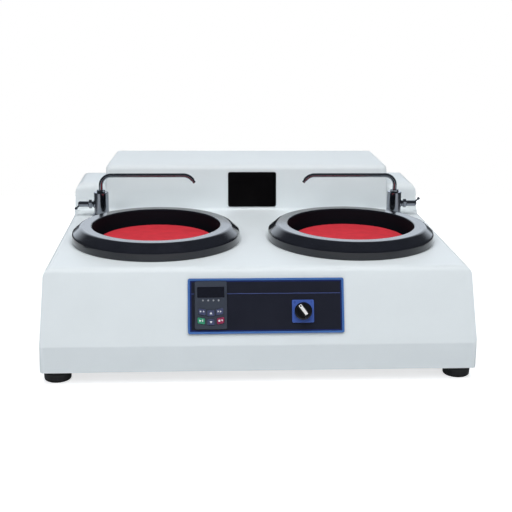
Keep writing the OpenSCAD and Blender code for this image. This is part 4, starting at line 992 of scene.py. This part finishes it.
class MACHINE_OT_keypad(bpy.types.Operator):
    """Models the keypad with its window, lamps, keys and their marks"""

    bl_idname = "machine.keypad"
    bl_label = "Keypad"

    PLATES = (  # node, finish, slot, rounding of its front edges and steps of that rounding
        ("keypad_case", "keypad", "keypad_grey", 0.5 * MM, 2),
        ("keypad_window", "window", "window_dark", 0.15 * MM, 2),
        ("keypad_lamps", "lamp", "lamp_red", 0.4 * MM, 3),
    )
    KEYS = {
        "program": "key_slate",
        "up": "key_slate",
        "shift": "key_slate",
        "run": "key_green",
        "down": "key_slate",
        "stop": "key_red",
    }
    # Corners of the marks in units of MARK, and the thickness of the print
    MARK, PRINT = 1.25 * MM, 0.12 * MM
    MARKS = {
        "program": [[(-3, -0.3), (-1.2, -0.3), (-1.2, 1.5), (-3, 1.5)], [(0.6, -0.3), (3, -0.3), (1.8, 1.8)]],
        "up": [[(-1.7, -1.2), (1.7, -1.2), (0, 1.6)]],
        "shift": [[(-2.6, -0.9), (-0.6, 0.4), (-2.6, 1.7)], [(0.4, -0.9), (2.4, 0.4), (0.4, 1.7)]],
        "run": [[(-2.4, -1.3), (0.4, 0.2), (-2.4, 1.7)], [(1.2, -1.3), (2.2, -1.3), (2.2, 1.7), (1.2, 1.7)]],
        "down": [[(-1.7, 1.2), (0, -1.6), (1.7, 1.2)]],
        "stop": [[(-2.8, -1.1), (-0.5, -1.1), (-0.5, 1.2), (-2.8, 1.2)], [(0.8, 1.3), (1.9, -1.1), (3, 1.3)]],
    }

    def execute(self, context):
        sizes = context.scene.panel_sizes
        for node, finish, slot, edge, steps in self.PLATES:
            dress(eased_copy(node, -FACE_IN, edge, steps), MATERIALS[finish], MACHINE, [node])
        for key, finish in self.KEYS.items():
            node, body = f"{key}_key", f"{key}_button"
            dress(eased_copy(node, -FACE_IN, sizes.edge), MATERIALS[finish], body, [node])
            marks = []
            for k, points in enumerate(self.MARKS[key]):
                corners = [(x * self.MARK, y * self.MARK, self.PRINT) for x, y in points]
                mark = pressed_plate(f"mark{k}", corners, self.PRINT, 0.05 * MM, 1)
                marks.append(place(mark, on_front(node)))
            dress(joined(f"{key}_mark", marks), MATERIALS["mark"], body)
        return {"FINISHED"}


class MACHINE_OT_switch(bpy.types.Operator):
    """Models the rotary switch: plate with numerals, knob with grip bar, and white pointer"""

    bl_idname = "machine.switch"
    bl_label = "Rotary switch"

    REST = math.radians(36)  # how the knob is turned at rest
    KNOB, BASE = 14 * MM, 7 * MM  # radius and height of the knob's round foot
    GRIP, GRIP_WIDTH = 8 * MM, 9 * MM
    GAP = 0.5 * MM  # between the plate and the knob
    SINK = 0.05 * MM  # how far prints and inlays are let in
    STRIP, STRIP_UP = (5 * MM, 19 * MM), 2 * MM
    SCREW, SCREW_HEIGHT, SCREW_UP = 1.5 * MM, 0.22 * MM, 9.3 * MM
    DIGIT, DIGIT_X, DIGIT_UP, PRINT = 5.5 * MM, 13.2 * MM, 14 * MM, 0.06 * MM

    def numeral(self, text, x):
        """A printed numeral on the plate."""
        clear_selection()
        bpy.ops.object.text_add()
        obj = bpy.context.object
        obj.data.body = text
        obj.data.size = self.DIGIT
        obj.data.align_x = obj.data.align_y = "CENTER"
        obj.data.extrude = self.PRINT
        bpy.ops.object.convert(target="MESH")
        obj = bpy.context.object
        return place(obj, on_front("switch_plate", x, self.DIGIT_UP, self.SINK))

    def execute(self, context):
        plate = eased_copy("switch_plate", -FACE_IN, 0.7 * MM)
        dress(plate, MATERIALS["switch_blue"], MACHINE, ["switch_plate"])
        marks = [self.numeral("0", -self.DIGIT_X), self.numeral("1", self.DIGIT_X)]
        dress(joined("switch_numerals", marks), MATERIALS["numeral"], MACHINE)
        base = lathe(
            "base",
            [
                (0, 0, 0),
                (self.KNOB, 0, 0.4 * MM),
                (self.KNOB, self.BASE - 2 * MM, 0.8 * MM),
                (self.KNOB - 1.5 * MM, self.BASE, 1.2 * MM),
                (0, self.BASE, 0),
            ],
        )
        grip = pressed_plate(
            "grip", rectangle(self.GRIP_WIDTH, 2 * self.KNOB - 3 * MM, 1.5 * MM), self.BASE + self.GRIP, 1.0 * MM
        )
        knob = joined("switch_knob_skin", [base, grip])
        turn = Matrix.Rotation(self.REST, 4, "Z")
        place(knob, on_front("switch_plate", out=self.GAP) @ turn)
        dress(knob, MATERIALS["switch_black"], "rotary_switch", ["switch_knob"])
        top = on_front("switch_plate", out=self.GAP + self.BASE + self.GRIP - self.SINK) @ turn
        strip = pressed_plate("switch_pointer_skin", rectangle(*self.STRIP, 0.8 * MM), 0.15 * MM, 0.06 * MM, 2)
        place(strip, top @ Matrix.Translation((0, self.STRIP_UP, 0)))
        dress(strip, MATERIALS["pointer"], "rotary_switch", ["switch_pointer"])
        screw = lathe(
            "switch_screw",
            [
                (0, 0, 0),
                (self.SCREW, 0, 0),
                (self.SCREW, self.SCREW_HEIGHT, 0.1 * MM),
                (0.9 * MM, self.SCREW_HEIGHT, 0),
                (0.7 * MM, 0.16 * MM, 0),
                (0, 0.16 * MM, 0),
            ],
            32,
        )
        place(screw, top @ Matrix.Translation((0, self.SCREW_UP, 0)))
        dress(screw, MATERIALS["switch_black"], "rotary_switch")
        return {"FINISHED"}


class MACHINE_OT_feet(bpy.types.Operator):
    """Turns the four rubber feet"""

    bl_idname = "machine.feet"
    bl_label = "Rubber feet"

    RADIUS = 23 * MM
    RECESS, RECESS_DEPTH, BOLT = 8 * MM, 10 * MM, 4.2 * MM  # radius and depth for the bolt's head, hole for its shank

    def execute(self, context):
        low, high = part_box("rubber_feet")
        radius, tall = self.RADIUS, high.z - low.z
        foot = lathe(
            "foot",
            [
                (self.RECESS, self.RECESS_DEPTH, 0),
                (self.RECESS, 0, 0.8 * MM),
                (radius - 1.5 * MM, 0, 2.5 * MM),
                (radius - 0.7 * MM, tall * 0.62, 0.8 * MM),
                (radius - 1.8 * MM, tall * 0.66, 0.6 * MM),
                (radius - 1.8 * MM, tall * 0.72, 0.6 * MM),
                (radius, tall * 0.76, 0.8 * MM),
                (radius, tall, 1.2 * MM),
                (self.BOLT, tall, 0),
                (self.BOLT, self.RECESS_DEPTH, 0),
            ],
            64,
        )
        spots = [(x, y) for x in (low.x + radius, high.x - radius) for y in (low.y + radius, high.y - radius)]
        feet = [place(add_object("foot_copy", foot.data.copy()), Matrix.Translation((x, y, low.z))) for x, y in spots]
        bpy.data.objects.remove(foot)
        dress(joined("rubber_feet_skin", feet), MATERIALS["rubber"], MACHINE, ["rubber_feet"])
        return {"FINISHED"}


class MACHINE_OT_stage(bpy.types.Operator):
    """Sets the camera, the soft boxes, the surround and the floor"""

    bl_idname = "machine.stage"
    bl_label = "Stage"

    # The camera as fitted to the photo: focal length in picture widths, sensor in mm
    CAMERA = Vector((-95.42, -1712.55, 616.2)) * MM
    YAW, PITCH, ROLL = (math.radians(a) for a in (3.49, 15.95, 0.61))
    FOCAL_SHARE = 952.26 / 512
    SENSOR = 36.0
    CLIP = 50
    # Soft boxes: place, size and share of the side or the top power
    AIM = Vector((0, 0, 0.15))
    SIDE_BOXES = {
        "left_soft_box": ((-2.6, -2.8, 2.8), (1.0, 1.0), 1.0),
        "right_soft_box": ((2.6, -2.8, 2.4), (1.4, 1.4), 0.55),
    }
    TOP_BOXES = {"top_soft_box": ((0, -0.75, 2.05), (1.8, 1.2), 1.0)}
    # Lit backdrop: how far round it starts and is full; the heights where it starts, is full, fades and ends
    BACK_FROM, BACK_FULL = 0.6, 0.9
    BAND = (0.04, 0.12, 0.42, 0.66)
    TINT = "E4EEFA"
    # Floor: half its width and its front edge; its glow near the machine and at its edge, and in reflected light
    FLOOR, FLOOR_FRONT = 1.1, 5.0
    GLOW_NEAR, GLOW_FROM, GLOW_BOUNCE = 0.7, 0.5, 0.12

    def camera(self, context):
        """Sets the photo's camera."""
        along = math.cos(self.PITCH)
        forward = Vector((math.sin(self.YAW) * along, math.cos(self.YAW) * along, -math.sin(self.PITCH)))
        level = Vector((math.cos(self.YAW), -math.sin(self.YAW), 0))
        upright = level.cross(forward)
        right = math.cos(self.ROLL) * level + math.sin(self.ROLL) * upright
        up = -math.sin(self.ROLL) * level + math.cos(self.ROLL) * upright
        data = bpy.data.cameras.new("photo_camera")
        data.sensor_width = self.SENSOR
        data.lens = self.FOCAL_SHARE * self.SENSOR
        data.clip_end = self.CLIP
        obj = add_object("photo_camera", data)
        turn = Matrix((right, up, -forward)).transposed().to_4x4()
        obj.matrix_world = Matrix.Translation(self.CAMERA) @ turn
        context.scene.camera = obj

    def soft_box(self, name, spot, size, power):
        """A large soft light that is kept out of reflections, so that black and chrome show the backdrop alone."""
        data = bpy.data.lights.new(name, "AREA")
        data.shape = "RECTANGLE"
        data.size, data.size_y = size
        data.energy = power
        obj = add_object(name, data)
        obj.visible_glossy = False
        turn = (self.AIM - Vector(spot)).to_track_quat("-Z", "Y").to_matrix().to_4x4()
        obj.matrix_world = Matrix.Translation(spot) @ turn

    def surround(self, context, strength, dim):
        """A lit band behind the machine and dim light all round, as in a studio. The camera itself sees white."""
        world = bpy.data.worlds.new("studio")
        context.scene.world = world
        world.use_nodes = True
        tree = world.node_tree
        back = tree.nodes["Background"]
        way = add_node(tree, "ShaderNodeTexCoord").outputs["Generated"]
        parts = add_node(tree, "ShaderNodeSeparateXYZ", {"Vector": way})
        ends = {"from_min": self.BACK_FROM, "from_max": self.BACK_FULL, "interpolation_type": "SMOOTHSTEP"}
        behind = add_node(tree, "ShaderNodeMapRange", {"Value": parts.outputs["Y"]}, **ends)
        height = add_node(tree, "ShaderNodeValToRGB", {"Fac": parts.outputs["Z"]})
        start, full, fading, end = self.BAND
        stops = height.color_ramp.elements
        stops[0].position, stops[1].position = fading, end
        stops[0].color, stops[1].color = WHITE, BLACK
        stops.new(full).color = WHITE
        stops.new(start).color = BLACK
        both = {0: behind.outputs["Result"], 1: height.outputs["Color"]}
        band = add_node(tree, "ShaderNodeMath", both, operation="MULTIPLY").outputs["Value"]
        lit = add_node(tree, "ShaderNodeMapRange", {"Value": band}, to_min=dim, to_max=strength).outputs["Result"]
        camera_ray = add_node(tree, "ShaderNodeLightPath").outputs["Is Camera Ray"]
        seen = add_node(tree, "ShaderNodeMix", {"Factor": camera_ray, "A": lit})
        seen.inputs["B"].default_value = 1.0
        tree.links.new(seen.outputs["Result"], back.inputs["Strength"])
        tint = add_node(tree, "ShaderNodeMix", {"Factor": camera_ray}, data_type="RGBA")
        tint.inputs["A"].default_value = linear(self.TINT)
        tint.inputs["B"].default_value = WHITE
        tree.links.new(tint.outputs["Result"], back.inputs["Color"])

    def floor(self, tint):
        """A pale floor that keeps the machine's shadow and glows to white away from it."""
        clear_selection()
        bpy.ops.mesh.primitive_plane_add(size=2 * self.FLOOR)
        obj = bpy.context.object
        obj.name = "floor"
        edit(obj)
        pick(lambda e: all(v.co.y < 0 for v in e.verts))
        bpy.ops.transform.translate(value=(0, self.FLOOR - self.FLOOR_FRONT, 0))
        leave_edit()
        made, tree, shader, where = start_material(
            "pale_floor", Base_Color=tint, Roughness=0.9, Specular_IOR_Level=0.1, Emission_Color=WHITE
        )
        path = add_node(tree, "ShaderNodeLightPath")
        ray = {kind: path.outputs[f"Is {kind} Ray"] for kind in ("Glossy", "Diffuse", "Camera")}
        bounce = add_node(tree, "ShaderNodeMath", {0: ray["Glossy"], 1: ray["Diffuse"]}, operation="MAXIMUM")
        seen = add_node(
            tree, "ShaderNodeMath", {0: bounce.outputs["Value"], 2: ray["Camera"]}, operation="MULTIPLY_ADD"
        )
        seen.inputs[1].default_value = self.GLOW_BOUNCE
        far = add_node(tree, "ShaderNodeVectorMath", {0: where}, operation="LENGTH").outputs["Value"]
        ends = {"from_min": self.GLOW_FROM, "from_max": self.FLOOR, "to_min": self.GLOW_NEAR, "to_max": 1.0}
        fade = add_node(tree, "ShaderNodeMapRange", {"Value": far}, interpolation_type="SMOOTHSTEP", **ends)
        both = {0: seen.outputs["Value"], 1: fade.outputs["Result"]}
        glow = add_node(tree, "ShaderNodeMath", both, operation="MULTIPLY")
        tree.links.new(glow.outputs["Value"], shader.inputs["Emission Strength"])
        obj.data.materials.append(made)

    def execute(self, context):
        settings = context.scene.stage_settings
        self.camera(context)
        for boxes, power in ((self.SIDE_BOXES, settings.side_power), (self.TOP_BOXES, settings.top_power)):
            for name, (spot, size, share) in boxes.items():
                self.soft_box(name, spot, size, power * share)
        self.surround(context, settings.backdrop, settings.dim)
        self.floor(settings.floor)
        context.scene.view_settings.view_transform = "Standard"
        return {"FINISHED"}


OPERATORS = (
    MACHINE_OT_finishes,
    MACHINE_OT_housing,
    MACHINE_OT_rings,
    MACHINE_OT_cloths,
    MACHINE_OT_taps,
    MACHINE_OT_panel,
    MACHINE_OT_keypad,
    MACHINE_OT_switch,
    MACHINE_OT_feet,
    MACHINE_OT_stage,
)


class VIEW3D_PT_machine(bpy.types.Panel):
    """Lists the sizes, the colours and the steps of the machine"""

    bl_label = "Polishing machine"
    bl_space_type = "VIEW_3D"
    bl_region_type = "UI"
    bl_category = "Machine"

    def draw(self, context):
        for group in GROUPS:
            settings = getattr(context.scene, group)
            for key in settings.__annotations__:
                self.layout.prop(settings, key)
        for operator in OPERATORS:
            self.layout.operator(operator.bl_idname)


def register():
    for group in GROUPS.values():
        bpy.utils.register_class(group)
    for operator in OPERATORS:
        bpy.utils.register_class(operator)
    bpy.utils.register_class(VIEW3D_PT_machine)
    for key, group in GROUPS.items():
        setattr(bpy.types.Scene, key, PointerProperty(type=group))


def unregister():
    for key in GROUPS:
        delattr(bpy.types.Scene, key)
    bpy.utils.unregister_class(VIEW3D_PT_machine)
    for operator in reversed(OPERATORS):
        bpy.utils.unregister_class(operator)
    for group in reversed(list(GROUPS.values())):
        bpy.utils.unregister_class(group)


def main():
    """Builds the looks in order."""
    register()
    for operator in OPERATORS:
        area, name = operator.bl_idname.split(".")
        getattr(getattr(bpy.ops, area), name)()
    clear_selection()


if __name__ == "__main__":
    main()
